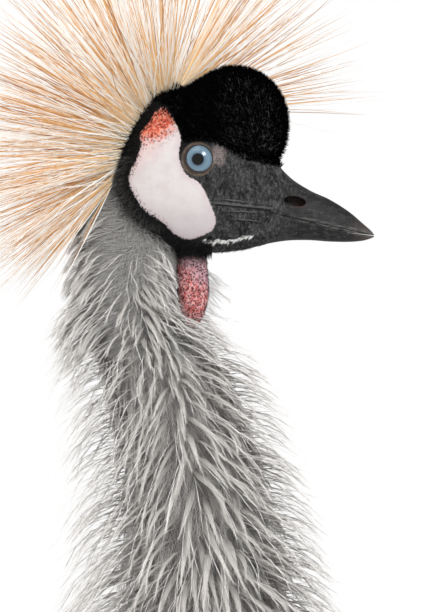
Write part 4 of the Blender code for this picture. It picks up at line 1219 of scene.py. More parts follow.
def strands(paths: np.ndarray, up: np.ndarray, widths: np.ndarray, marks: dict,
            flat: float = 0.6) -> Shape:
    """Three-sided strands that taper to a point.

    Args:
        paths: points, by strand and place along it.
        up: the outward direction of each strand.
        widths: width at each place but the last, by strand.
        marks: numbers for each strand, or for each of its places.
        flat: thickness as a share of the width.

    Returns:
        The strands as one shape.
    """
    count, places = paths.shape[:2]
    heading = unit(np.diff(paths, axis=1))
    side = unit(np.cross(heading, up[:, None, :]))
    top = np.cross(side, heading)
    here, half = paths[:, :-1], column(widths / 2)
    ring = np.stack((here + side * half, here - side * half, here + top * half * 2 * flat), 2)
    points = np.concatenate((ring.reshape(count, -1, 3), paths[:, -1:]), 1)
    place_of = np.append(np.repeat(np.arange(places - 1), 3), places - 1)
    spread = {}
    for name, values in marks.items():
        values = np.asarray(values, float)
        spread[name] = (values[:, place_of].ravel() if values.ndim == 2
                        else np.repeat(values, points.shape[1]))
    return Shape(points.reshape(-1, 3), repeated(points, [(0, 1, 2)], 3), spread)


def vanes(paths: np.ndarray, up: np.ndarray, widths: np.ndarray, marks: dict,
          crown: float = 0.12, thick: float = 0.45) -> Shape:
    """Leaf-shaped feathers with a ridge along the shaft and thin edges.

    Args:
        paths: points, by feather and place along it.
        up: outward directions, by feather and place but the last.
        widths: full width at each place but the last, by feather.
        marks: numbers for each feather.
        crown: height of the ridge as a share of the half width.
        thick: thickness at the shaft in millimetres.

    Returns:
        The feathers as one shape.
    """
    count, places = paths.shape[:2]
    heading = unit(np.diff(paths, axis=1))
    side = unit(np.cross(heading, up))
    top = np.cross(side, heading)
    over = np.array((-1.0, -0.5, 0.0, 0.5, 1.0, 0.0))
    lift = np.array((0.0, 0.7, 1.0, 0.7, 0.0, 1.0)) * crown
    drop = np.array((0.0, 0.0, 0.0, 0.0, 0.0, 1.0)) * thick * MM
    half = (widths / 2)[:, :, None, None]
    ring = (paths[:, :-1, None] + side[:, :, None] * half * over[:, None]
            + top[:, :, None] * (half * lift[:, None] - drop[:, None]))
    points = np.concatenate((ring.reshape(count, -1, 3), paths[:, -1:]), 1)
    along = np.append(np.repeat(np.arange(places - 1), 6), places - 1) / (places - 1)
    across = np.append(np.tile(over, places - 1), 0.0)
    spread = {name: np.repeat(values, points.shape[1]) for name, values in marks.items()}
    spread["along"] = np.tile(along, count)
    spread["across"] = np.tile(across, count)
    if "u" in spread:
        spread["u"] = spread["u"] + (spread["across"] * 0.5) * 0.003
        spread["v"] = spread["v"] + (spread["along"] - 0.5) * 0.003
    caps = [(0, 1, 2), (0, 2, 5), (2, 3, 4), (2, 4, 5)]
    return Shape(points.reshape(-1, 3), repeated(points, caps, 6), spread)


def patch(angle: np.ndarray, share: np.ndarray) -> dict:
    """The bake places of tufts, from the angle and share of their roots."""
    return {"u": 0.01 + 0.98 * ((angle / (2 * math.pi)) % 1.0), "v": 0.01 + 0.98 * share}


def finish_piece(piece: bpy.types.Object, material: bpy.types.Material,
                 replaced: tuple = ()) -> None:
    """Dresses a piece, rides it on the body and hides what it replaces.

    Args:
        piece: the piece.
        material: its finish.
        replaced: the CAD nodes it stands for.
    """
    piece.data.materials.clear()
    piece.data.materials.append(material)
    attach(piece, BODY)
    if replaced:
        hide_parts(*replaced)
    LOG.info("%s: %d triangles", piece.name, sum(len(p.vertices) - 2
                                                 for p in piece.data.polygons))


def apply_modifiers(piece: bpy.types.Object) -> None:
    """Turns a piece's evaluated shape into its plain mesh.

    Args:
        piece: the object, which loses its modifiers.
    """
    graph = bpy.context.evaluated_depsgraph_get()
    mesh = bpy.data.meshes.new_from_object(piece.evaluated_get(graph))
    old = piece.data
    piece.modifiers.clear()
    piece.data = mesh
    bpy.data.meshes.remove(old)


def combined(piece: bpy.types.Object, tools: list, operation: str) -> bpy.types.Object:
    """Joins a piece with the tools, or cuts it by them, and removes the tools.

    Args:
        piece: the object that is changed.
        tools: closed objects.
        operation: UNION, DIFFERENCE or INTERSECT.

    Returns:
        The piece.
    """
    group = bpy.data.collections.new("tools")
    bpy.context.scene.collection.children.link(group)
    for tool in tools:
        bpy.context.scene.collection.objects.unlink(tool)
        group.objects.link(tool)
    modifier = piece.modifiers.new("combine", "BOOLEAN")
    modifier.operation = operation
    modifier.solver = "MANIFOLD"
    modifier.operand_type = "COLLECTION"
    modifier.collection = group
    apply_modifiers(piece)
    discard(tools)
    bpy.data.collections.remove(group)
    return piece


def discard(parts: list) -> None:
    """Removes objects and their meshes.

    Args:
        parts: the objects.
    """
    for part in parts:
        mesh = part.data
        bpy.data.objects.remove(part)
        bpy.data.meshes.remove(mesh)


def merged(parts: list, name: str) -> bpy.types.Object:
    """Several objects' meshes in one object, as loose closed bodies.

    Args:
        parts: the objects, which are removed.
        name: the new object's name.

    Returns:
        The new object.
    """
    form = bmesh.new()
    for part in parts:
        form.from_mesh(part.data)
    discard(parts)
    mesh = bpy.data.meshes.new(name)
    form.to_mesh(mesh)
    form.free()
    return in_scene(name, mesh)


def prism(outline: np.ndarray, low_y: float, high_y: float) -> bpy.types.Object:
    """An outline of x and z in millimetres, run between two places along Y.

    Args:
        outline: its corners.
        low_y: where it starts, in millimetres.
        high_y: where it ends, in millimetres.

    Returns:
        The closed object.
    """
    flat = np.asarray(outline, float)
    ring = np.stack((flat[:, 0], np.zeros(len(flat)), flat[:, 1]), 1)
    points = np.concatenate((place(ring) + ACROSS * low_y * MM,
                             place(ring) + ACROSS * high_y * MM))
    count = len(flat)
    faces = [tuple(range(count)), tuple(range(count, 2 * count))]
    faces += [(k, (k + 1) % count, count + (k + 1) % count, count + k) for k in range(count)]
    mesh = bpy.data.meshes.new("prism")
    mesh.from_pydata([tuple(p) for p in points], [], faces)
    form = bmesh.new()
    form.from_mesh(mesh)
    bmesh.ops.recalc_face_normals(form, faces=form.faces)
    form.to_mesh(mesh)
    form.free()
    return in_scene("prism", mesh)


def ball(centre: tuple, half: tuple, tilt: float = 0.0, rings: int = 24,
         sides: int = 32) -> Shape:
    """An ellipsoid, tilted in the mirror plane about its middle, in millimetres.

    Args:
        centre: the middle, from the middle of the eyes.
        half: half its size on each axis.
        tilt: the tilt, in radians.
        rings: rings from end to end.
        sides: points round each ring.

    Returns:
        The ellipsoid.
    """
    polar = np.pi * (np.arange(rings) + 0.5) / rings
    turn = circle(sides)
    x = half[0] * np.repeat(np.cos(polar), sides)
    y = half[1] * (np.sin(polar)[:, None] * np.cos(turn)).ravel()
    z = half[2] * (np.sin(polar)[:, None] * np.sin(turn)).ravel()
    spun = np.stack((x * math.cos(tilt) - z * math.sin(tilt), y,
                     x * math.sin(tilt) + z * math.cos(tilt)), 1)
    return lofted(place(spun + np.array(centre)).reshape(rings, sides, 3))


def remeshed(piece: bpy.types.Object, voxel: float, rounds: int) -> bpy.types.Object:
    """Gives a piece one even skin and softens its creases.

    Args:
        piece: the object that is changed.
        voxel: the skin's grain, in metres.
        rounds: how many times it is softened.

    Returns:
        The piece.
    """
    modifier = piece.modifiers.new("skin", "REMESH")
    modifier.mode = "VOXEL"
    modifier.voxel_size = voxel
    modifier.use_smooth_shade = True
    soften = piece.modifiers.new("soften", "SMOOTH")
    soften.factor = 0.5
    soften.iterations = rounds
    apply_modifiers(piece)
    return piece


NECK = Sweep(NECK_STATIONS)
TORSO = Sweep(TORSO_STATIONS)
MANTLE = Sweep(MANTLE_STATIONS)
WATTLE = Sweep(WATTLE_STATIONS)


class Pattern(Tree):
    """A Geometry Nodes tree with named inputs, run once on a carrier and made a plain mesh."""

    kinds = {float: "NodeSocketFloat", int: "NodeSocketInt", tuple: "NodeSocketVector",
             bpy.types.Object: "NodeSocketObject", bpy.types.Material: "NodeSocketMaterial"}

    def __init__(self, name: str, inputs: dict) -> None:
        """Makes the empty tree.

        Args:
            name: the tree's name.
            inputs: the value of each named input.
        """
        tree = bpy.data.node_groups.new(name, "GeometryNodeTree")
        super().__init__(tree)
        self.inputs = inputs
        tree.interface.new_socket("Geometry", in_out="INPUT", socket_type="NodeSocketGeometry")
        for label, value in inputs.items():
            tree.interface.new_socket(label, in_out="INPUT", socket_type=self.kinds[type(value)])
        tree.interface.new_socket("Geometry", in_out="OUTPUT", socket_type="NodeSocketGeometry")
        self.given = self.node("NodeGroupInput").outputs

    def kept(self, geometry: bpy.types.NodeSocket, name: str, value: object,
             kind: str = "FLOAT") -> bpy.types.NodeSocket:
        """Stores a number or vector on each point of a geometry.

        Args:
            geometry: the geometry's socket.
            name: what it is stored as.
            value: the number or vector, or its socket.
            kind: the type of the data.

        Returns:
            The geometry with the number.
        """
        made = self.node("GeometryNodeStoreNamedAttribute",
                         {"data_type": kind, "domain": "POINT"},
                         {"Geometry": geometry, "Name": name})
        self.feed(next(s for s in made.inputs if s.name == "Value" and s.enabled), value)
        return made.outputs[0]

    def chance(self, low: float, high: float, seed: int) -> bpy.types.NodeSocket:
        """A number drawn for each point.

        Args:
            low: the least it may be.
            high: the most it may be.
            seed: the seed of the draw.

        Returns:
            The number's socket.
        """
        made = self.node("FunctionNodeRandomValue", {"data_type": "FLOAT"}, {8: seed})
        made.inputs[2].default_value = low
        made.inputs[3].default_value = high
        return made.outputs[1]

    def close(self, instances: bpy.types.NodeSocket) -> None:
        """Ends the tree: instances made real, and dressed.

        Args:
            instances: the socket of the instances.
        """
        real = self.node("GeometryNodeRealizeInstances", None, {0: instances})
        dressed = self.node("GeometryNodeSetMaterial", None,
                            {"Geometry": real.outputs[0], "Material": self.given["Material"]})
        self.node("NodeGroupOutput", None, {0: dressed.outputs[0]})

    def run(self, carrier: bpy.types.Object, name: str) -> bpy.types.Object:
        """Runs the tree on a carrier, which is used up, and gives the plain mesh object.

        Args:
            carrier: the object that the pattern is made on.
            name: the name of the piece.

        Returns:
            The carrier, as the piece.
        """
        modifier = carrier.modifiers.new("pattern", "NODES")
        modifier.node_group = self.tree
        for item in self.tree.interface.items_tree:
            if item.in_out == "INPUT" and item.name in self.inputs:
                modifier[item.identifier] = self.inputs[item.name]
        bpy.context.view_layer.update()
        apply_modifiers(carrier)
        carrier.name = carrier.data.name = name
        return carrier


def read_mark(piece: bpy.types.Object, name: str, width: int = 1) -> np.ndarray:
    """An attribute's numbers at each vertex of a piece.

    Args:
        piece: the object.
        name: the attribute's name.
        width: numbers at each vertex, 1 or 3.

    Returns:
        The numbers, one row each.
    """
    data = piece.data.attributes[name].data
    values = np.zeros(len(data) * width, np.float32)
    data.foreach_get("vector" if width == 3 else "value", values)
    return values.reshape(-1, width) if width > 1 else values


def points_of(piece: bpy.types.Object) -> np.ndarray:
    """The vertices of a piece, in metres.

    Args:
        piece: the object.

    Returns:
        The points, one row each.
    """
    values = np.zeros(len(piece.data.vertices) * 3, np.float32)
    piece.data.vertices.foreach_get("co", values)
    return values.reshape(-1, 3).astype(float)


def bake_by_root(piece: bpy.types.Object, centre: tuple) -> None:
    """Gives each tuft of a piece a small patch at its root's place on the skin's unwrap.

    Args:
        piece: the tufts, which carry their roots.
        centre: the middle of the unwrap, in millimetres from the eyes.
    """
    root, at = read_mark(piece, "root", 3).astype(float), points_of(piece)
    way = unit(root - place(np.array(centre)))
    u = 0.5 + 0.48 * np.arctan2(way[:, 2], way[:, 0]) / math.pi
    v = 0.5 + 0.48 * way[:, 1]
    off = np.clip((at - root) / 0.012, -1, 1) * 0.0015
    corners = np.zeros(len(piece.data.loops), np.int32)
    piece.data.loops.foreach_get("vertex_index", corners)
    unwrap(piece.data, np.stack((u + off[:, 0], v + off[:, 2]), 1)[corners])


def spike(sides: int, places: int, width: float, bow: float) -> bpy.types.Object:
    """One tuft of length 1 along Z, for a pattern to repeat.

    Args:
        sides: points round each ring.
        places: how many rings there are.
        width: half the width at the root.
        bow: how far the tip leans.

    Returns:
        The tuft, which isn't in the scene.
    """
    share = np.arange(places) / places
    turn = circle(sides)
    rings = np.stack([np.stack((width * (1 - 0.55 * s) * np.cos(turn) + bow * s * s,
                                width * (1 - 0.55 * s) * np.sin(turn), np.full(sides, s)), 1)
                      for s in share])
    points = np.concatenate((rings.reshape(-1, 3), [[bow, 0, 1]]))
    k = np.arange(sides)
    faces = [tuple(k[::-1])]
    for i in range(places - 1):
        faces += [(i * sides + j, i * sides + (j + 1) % sides, (i + 1) * sides + (j + 1) % sides,
                   (i + 1) * sides + j) for j in k]
    last = (places - 1) * sides
    faces += [(last + j, last + (j + 1) % sides, len(points) - 1) for j in k]
    mesh = bpy.data.meshes.new("tuft")
    mesh.from_pydata(points.tolist(), [], [tuple(int(i) for i in f) for f in faces])
    store(mesh, "along", np.append(np.repeat(share, sides), 1.0))
    return bpy.data.objects.new("tuft", mesh)


@dataclass(frozen=True)
class Cover:
    """One kind of tuft that covers a part of the skin.

    Density is in tufts to the square metre and length, of the longest, in metres. Width
    and bow are shares of the length. Lie goes from 0, standing, to 1, flat along lean, and
    stray is how far each tuft's lean strays from it.
    """

    name: str
    slot: str
    density: float
    length: float
    width: float
    lean: tuple
    lie: float
    seed: int
    tufts: TuftFinish
    stray: float = 0.5
    bow: float = 0.2
    places: int = 1


def scattered(carrier: bpy.types.Object, cover: Cover,
              finish: bpy.types.Material) -> bpy.types.Object:
    """Covers a carrier, which is used up, with tufts that stand on its faces.

    Args:
        carrier: the mesh object that the tufts grow on.
        cover: the kind of tuft.
        finish: the tufts' finish.

    Returns:
        The tufts as one plain mesh object.
    """
    tree = Pattern(cover.name, {"Tuft": spike(3, cover.places, cover.width, cover.bow),
                                "Density": cover.density, "Length": cover.length,
                                "Lean": cover.lean, "Lie": cover.lie, "Stray": cover.stray,
                                "Seed": cover.seed, "Material": finish})
    given = tree.given
    spread = tree.node("GeometryNodeDistributePointsOnFaces", {"distribute_method": "RANDOM"},
                       {"Mesh": given["Geometry"], "Density": given["Density"],
                        "Seed": given["Seed"]})
    drawn = tree.node("ShaderNodeCombineXYZ", None,
                      {k: tree.chance(-1.0, 1.0, cover.seed + 5 + k) for k in range(3)})
    strays = tree.node("ShaderNodeVectorMath", {"operation": "SCALE"},
                       {0: drawn.outputs[0], 3: given["Stray"]})
    leans = tree.node("ShaderNodeVectorMath", {"operation": "ADD"},
                      {0: strays.outputs[0], 1: given["Lean"]})
    ways = tree.node("ShaderNodeMix", {"data_type": "VECTOR"},
                     {0: given["Lie"], 4: spread.outputs["Normal"], 5: leans.outputs[0]})
    turned = tree.node("FunctionNodeAlignRotationToVector", {"axis": "Z"},
                       {"Vector": ways.outputs[1]})
    spot = tree.node("GeometryNodeInputPosition").outputs[0]
    points = tree.kept(spread.outputs["Points"], "tint", tree.chance(0.0, 1.0, cover.seed + 1))
    points = tree.kept(points, "root", spot, "FLOAT_VECTOR")
    size = tree.node("ShaderNodeMath", {"operation": "MULTIPLY"},
                     {0: tree.chance(0.62, 1.0, cover.seed + 2), 1: given["Length"]})
    what = tree.node("GeometryNodeObjectInfo", None, {"Object": given["Tuft"]})
    copies = tree.node("GeometryNodeInstanceOnPoints", None,
                       {"Points": points, "Instance": what.outputs["Geometry"],
                        "Rotation": turned.outputs[0], "Scale": size.outputs[0]})
    tree.close(copies.outputs[0])
    return tree.run(carrier, cover.name)


def cut_by_depth(piece: bpy.types.Object, keep: np.ndarray) -> None:
    """Removes the vertices of a piece that aren't kept.

    Args:
        piece: the object that is changed.
        keep: a flag for each vertex.
    """
    form = bmesh.new()
    form.from_mesh(piece.data)
    form.verts.ensure_lookup_table()
    lost = [form.verts[i] for i in np.nonzero(~keep)[0]]
    bmesh.ops.delete(form, geom=lost, context="VERTS")
    form.to_mesh(piece.data)
    form.free()


def eye_shape(side: Side, grow: float = 0.0) -> Shape:
    """One eyeball, or its socket when grown by some millimetres."""
    return ball((0, side.value * 11.5, 0), (11.0 + grow, 8.0 + grow, 11.0 + grow), 0.0, 40, 56)


def wattle_at(z: np.ndarray, which: int) -> np.ndarray:
    """One of the numbers of the wattle's stations at these levels, in millimetres."""
    return np.interp(-z, [-row[1] for row in WATTLE_STATIONS],
                     [row[which] for row in WATTLE_STATIONS])


def tuck(points: np.ndarray) -> np.ndarray:
    """How far the neck's skin is drawn back behind the wattle at some points.

    Args:
        points: places in metres.

    Returns:
        What is taken from each place, as a vector in metres.
    """
    x, _, z = from_eyes(points).T
    deep = np.interp(z, (-104, -86, -56, -45), (0, 1, 1, 0)) * np.clip((x + 27) / 13, 0, 1)
    return np.outer(deep * 10 * MM, (1.0, 0.0, 0.0))


@dataclass
class Skin:
    """The bird's skin in one surface: head, cheeks, lids, wattle, neck, trunk and thighs."""

    head_voxel: float = 0.0009
    body_voxel: float = 0.0033
    lid_radius: float = 8.25
    lid_thick: float = 1.1
    lid_out: tuple = (17.4, 1.3, 0.8)
    cheek_raise: float = 0.9
    under_bill: float = 0.75

    def build(self) -> bpy.types.Object:
        """Makes the skin, dresses it and gives it back.

        Returns:
            The skin.
        """
        head, trunk = self._head(), self._trunk()
        skin = combined(head, [trunk], "UNION")
        skin.name = skin.data.name = "skin"
        eyes = [eye_shape(side, 0.25).to_object("socket") for side in Side]
        combined(skin, eyes, "DIFFERENCE")
        self._mark(skin)
        skin.data.shade_smooth()
        finish_piece(skin, SkinFinish().build(),
                     ("head", "cheek_left", "cheek_right", "throat_wattle", "torso",
                      "thigh_left", "thigh_right"))
        return skin

    def _head(self) -> bpy.types.Object:
        """The head in fine detail, down to the throat.

        Returns:
            The head, as one closed object.
        """
        skull = lofted(HeadForm.grid(132, 72, 0.2)).to_object("skull")
        base = tuple((x + self.under_bill, z) for x, z in BILL_BASE)
        behind = base + ((46, 60), (-60, 60), (-60, -60), (33, -60))
        combined(skull, [prism(behind, -50, 50)], "INTERSECT")
        for side in Side:
            ends = sorted((side.value * 9.0, side.value * 30.0))
            gape = [(x, z + 0.55) for x, z in MOUTH_LINE[:4]]
            gape += [(x, z - 0.55) for x, z in reversed(MOUTH_LINE[:4])]
            combined(skull, [prism(gape, *ends)], "DIFFERENCE")
        parts = [skull]
        for side in Side:
            cheek = lofted(HeadForm.grid(132, 72, self.cheek_raise)).to_object("cheek")
            ends = sorted((side.value * 5.0, side.value * 30.0))
            parts.append(combined(cheek, [prism(rounded(CHEEK_OUTLINE), *ends)], "INTERSECT"))
            parts.append(self._lid(side).to_object("lid"))
            parts.append(ball((-16.0, side.value * 11.5, 25.5), (11.4, 5.0, 7.4),
                              math.radians(35)).to_object("shoulder"))
        cap = lofted(CapForm.grid(60, 24, -3.0)).to_object("cap")
        above = CAP_EDGE + ((60, 60), (-23, 60))
        parts.append(combined(cap, [prism(above, -50, 50)], "INTERSECT"))
        parts.append(ball((-24.0, 0, 15.5), (26.4, 12.4, 12.4), math.radians(57)).to_object("pad"))
        parts.append(lofted(WATTLE.grid(30, 28)).to_object("wattle"))
        collar = Sweep(NECK_STATIONS[:6])
        throat = lofted(collar.grid(40, 40, -0.6))
        throat.points -= tuck(throat.points)
        parts.append(throat.to_object("collar"))
        return remeshed(merged(parts, "head skin"), self.head_voxel, 3)

    def _trunk(self) -> bpy.types.Object:
        """The neck, trunk and thighs in plainer detail, as feathers cover them.

        Returns:
            All of them, as one closed object.
        """
        neck = lofted(NECK.grid(60, 40, -0.8))
        neck.points -= tuck(neck.points)
        parts = [neck.to_object("neck"),
                 lofted(TORSO.grid(60, 48, -0.5)).to_object("trunk")]
        parts += [lofted(Limb(THIGH_STATIONS, side).grid(40, 28, -0.5)).to_object("thigh")
                  for side in Side]
        return remeshed(merged(parts, "trunk skin"), self.body_voxel, 2)

    def _lid(self, side: Side) -> Shape:
        """The raised rim of the eyelids, leaning with the side of the head.

        Args:
            side: the side of the head.

        Returns:
            The rim.
        """
        around, sides = 72, 14
        turn = np.repeat(circle(around), sides)
        roll = np.tile(circle(sides), around)
        middle, ahead, above = self.lid_out
        out = middle - ahead * np.cos(turn) - above * np.sin(turn)
        reach = self.lid_radius + self.lid_thick * np.cos(roll)
        points = place(np.stack((reach * np.cos(turn),
                                 side.value * (out + self.lid_thick * np.sin(roll)),
                                 reach * np.sin(turn)), 1))
        i, j = np.divmod(np.arange(around * sides), sides)
        a, b = i * sides + j, i * sides + (j + 1) % sides
        c, d = (i + 1) % around * sides + (j + 1) % sides, (i + 1) % around * sides + j
        faces = np.concatenate((np.stack((a, b, c), 1), np.stack((a, c, d), 1)))
        return facing_out(Shape(points, faces))

    @staticmethod
    def _mark(skin: bpy.types.Object) -> None:
        """Stores how deep each vertex lies in the cheek, face and wattle, in millimetres.

        Args:
            skin: the skin.
        """
        points = from_eyes(points_of(skin))
        flat = points[:, (0, 2)]
        cheek = np.minimum(inside_by(flat, rounded(CHEEK_OUTLINE, 5)), np.abs(points[:, 1]) - 7)
        x, ahead, behind, aside = (wattle_at(points[:, 2], k) for k in (0, 2, 3, 4))
        dx = points[:, 0] - x
        reach = np.where(dx > 0, ahead, behind)
        wattle = (1.18 - np.hypot(dx / reach, points[:, 1] / aside)) * reach
        wattle = np.minimum(wattle, -44.5 - points[:, 2])
        marks = {"cheek": cheek, "face": inside_by(flat, FACE_OUTLINE), "wattle": wattle}
        for name, values in marks.items():
            store(skin.data, name, np.clip(values, -50, 50))


@dataclass(frozen=True)
class Limb:
    """A leg length whose sections are level ovals, with its stations in millimetres."""

    stations: tuple
    side: Side

    def point(self, share: np.ndarray, turn: np.ndarray, grow: np.ndarray = 0.0) -> np.ndarray:
        """Points on the surface, where turn 0 is ahead and 90 degrees is outwards.

        Args:
            share: places along the limb, 0 to 1.
            turn: directions round it, in radians.
            grow: height over the surface, in millimetres.

        Returns:
            The points, in metres.
        """
        share, turn = np.broadcast_arrays(np.asarray(share, float), np.asarray(turn, float))
        x, y, z, ahead, out = curve_through(self.stations, share).T
        return place(np.stack((x + (ahead + grow) * np.cos(turn),
                               self.side.value * (y + (out + grow) * np.sin(turn)), z), 1))

    def outward(self, turn: np.ndarray) -> np.ndarray:
        """The level outward directions."""
        return np.stack((np.cos(turn), self.side.value * np.sin(turn), 0 * turn), 1)

    def grid(self, lengths: int, sides: int, grow: float = 0.0) -> np.ndarray:
        """Rings of points down the limb."""
        return self.point(*lattice(lengths, sides), grow).reshape(lengths + 1, sides, 3)


@dataclass
class Bill:
    """The bill's two halves, parted along the mouth line, with open nostrils.

    A nostril is its x and z, its half length and half height, and its tilt in degrees.
    """

    parting: float = 0.15
    corner: tuple = (28.0, -24.8)
    nostril: tuple = (50.2, -21.2, 5.8, 2.7, -8.0)

    def build(self) -> None:
        """Makes and dresses both halves."""
        horn = HornFinish().build()
        line = (self.corner,) + MOUTH_LINE[2:]
        above = [(x, z + self.parting) for x, z in line]
        below = [(x, z - self.parting) for x, z in line]
        upper = self._half("upper_bill_horn", above + [(96, 10), (28, 10)])
        combined(upper, [self._nostril(side) for side in Side], "DIFFERENCE")
        lower = self._half("lower_bill_horn", below + [(96, -70), (28, -70)])
        for piece, node in ((upper, "upper_bill"), (lower, "lower_bill")):
            piece.data.shade_smooth()
            piece.data.set_sharp_from_angle(angle=math.radians(48))
            finish_piece(piece, horn, (node,))

    @staticmethod
    def _half(name: str, outline: list) -> bpy.types.Object:
        """The part of the head's form inside an outline and in front of the bill's base.

        Args:
            name: the piece's name.
            outline: the half's outline.

        Returns:
            The bill half.
        """
        piece = lofted(HeadForm.grid(220, 96)).to_object(name)
        ahead = BILL_BASE + ((43.65, 30), (110, 30), (110, -70), (33.15, -70))
        combined(piece, [prism(ahead, -50, 50)], "INTERSECT")
        return combined(piece, [prism(outline, -50, 50)], "INTERSECT")

    def _nostril(self, side: Side) -> bpy.types.Object:
        """The cutter of one nostril.

        Args:
            side: the side of the bill.

        Returns:
            The cutter.
        """
        x, z, half_x, half_z, tilt = self.nostril
        turn = circle(36)
        lean = math.radians(tilt)
        a, b = half_x * np.cos(turn), half_z * np.sin(turn)
        outline = np.stack((x + a * math.cos(lean) - b * math.sin(lean),
                            z + a * math.sin(lean) + b * math.cos(lean)), 1)
        return prism(outline, *sorted((side.value * 0.8, side.value * 14.0)))


@dataclass
class Eyes:
    """The two eyes, each one smooth wet ball."""

    def build(self) -> None:
        """Makes and dresses both eyes."""
        finish = EyeFinish().build()
        for side in Side:
            word = side.name.lower()
            eye = eye_shape(side).to_object(f"{word}_eye_ball")
            finish_piece(eye, finish, (f"eye_{word}",))


def skin_area(skin: bpy.types.Object, keep: np.ndarray, name: str) -> bpy.types.Object:
    """A copy of the part of the skin whose vertices are kept, to grow tufts on.

    Args:
        skin: the skin.
        keep: a flag for each vertex.
        name: the copy's name.

    Returns:
        The copy.
    """
    area = in_scene(name, skin.data.copy())
    area.data.materials.clear()
    cut_by_depth(area, keep)
    return area


@dataclass
class Velvet:
    """The black velvet cushion of the forehead, as dense short tufts."""

    # The tufts' faintly paler tips paint the velvet's sheen.
    cover: Cover = Cover(
        "velvet_tufts", "velvet", density=2.3e6, length=0.0037, width=0.085,
        lean=(-0.75, 0.0, 0.65), lie=0.42, seed=11, bow=0.12, places=2,
        tufts=TuftFinish("velvet tufts", (0.0006, 0.0006, 0.0006), (0.001, 0.001, 0.0011),
                         (0.0026, 0.0026, 0.003), rough=0.9, variety=0.4, gloss=0.02))
    eye_room: float = 9.3

    def build(self, skin: bpy.types.Object) -> None:
        """Covers the forehead with tufts, down to the brow line.

        Args:
            skin: the bird's skin, with its marks.
        """
        x, _, z = from_eyes(points_of(skin)).T
        below = np.interp(x, (-16, -5, 6, 14), (5, 5, 1.5, 0.2))
        keep = z > np.interp(x, *zip(*CAP_EDGE)) - below
        keep &= (x > -23.5) & (x < 60) & (z > -6) & (np.hypot(x, z) > self.eye_room)
        keep &= read_mark(skin, "cheek") < -0.4
        finish = self.cover.tufts.build()
        tufts = scattered(skin_area(skin, keep, "velvet area"), self.cover, finish)
        bake_by_root(tufts, (17.5, 0.0, 12.0))
        finish_piece(tufts, finish, ("forehead_velvet",))


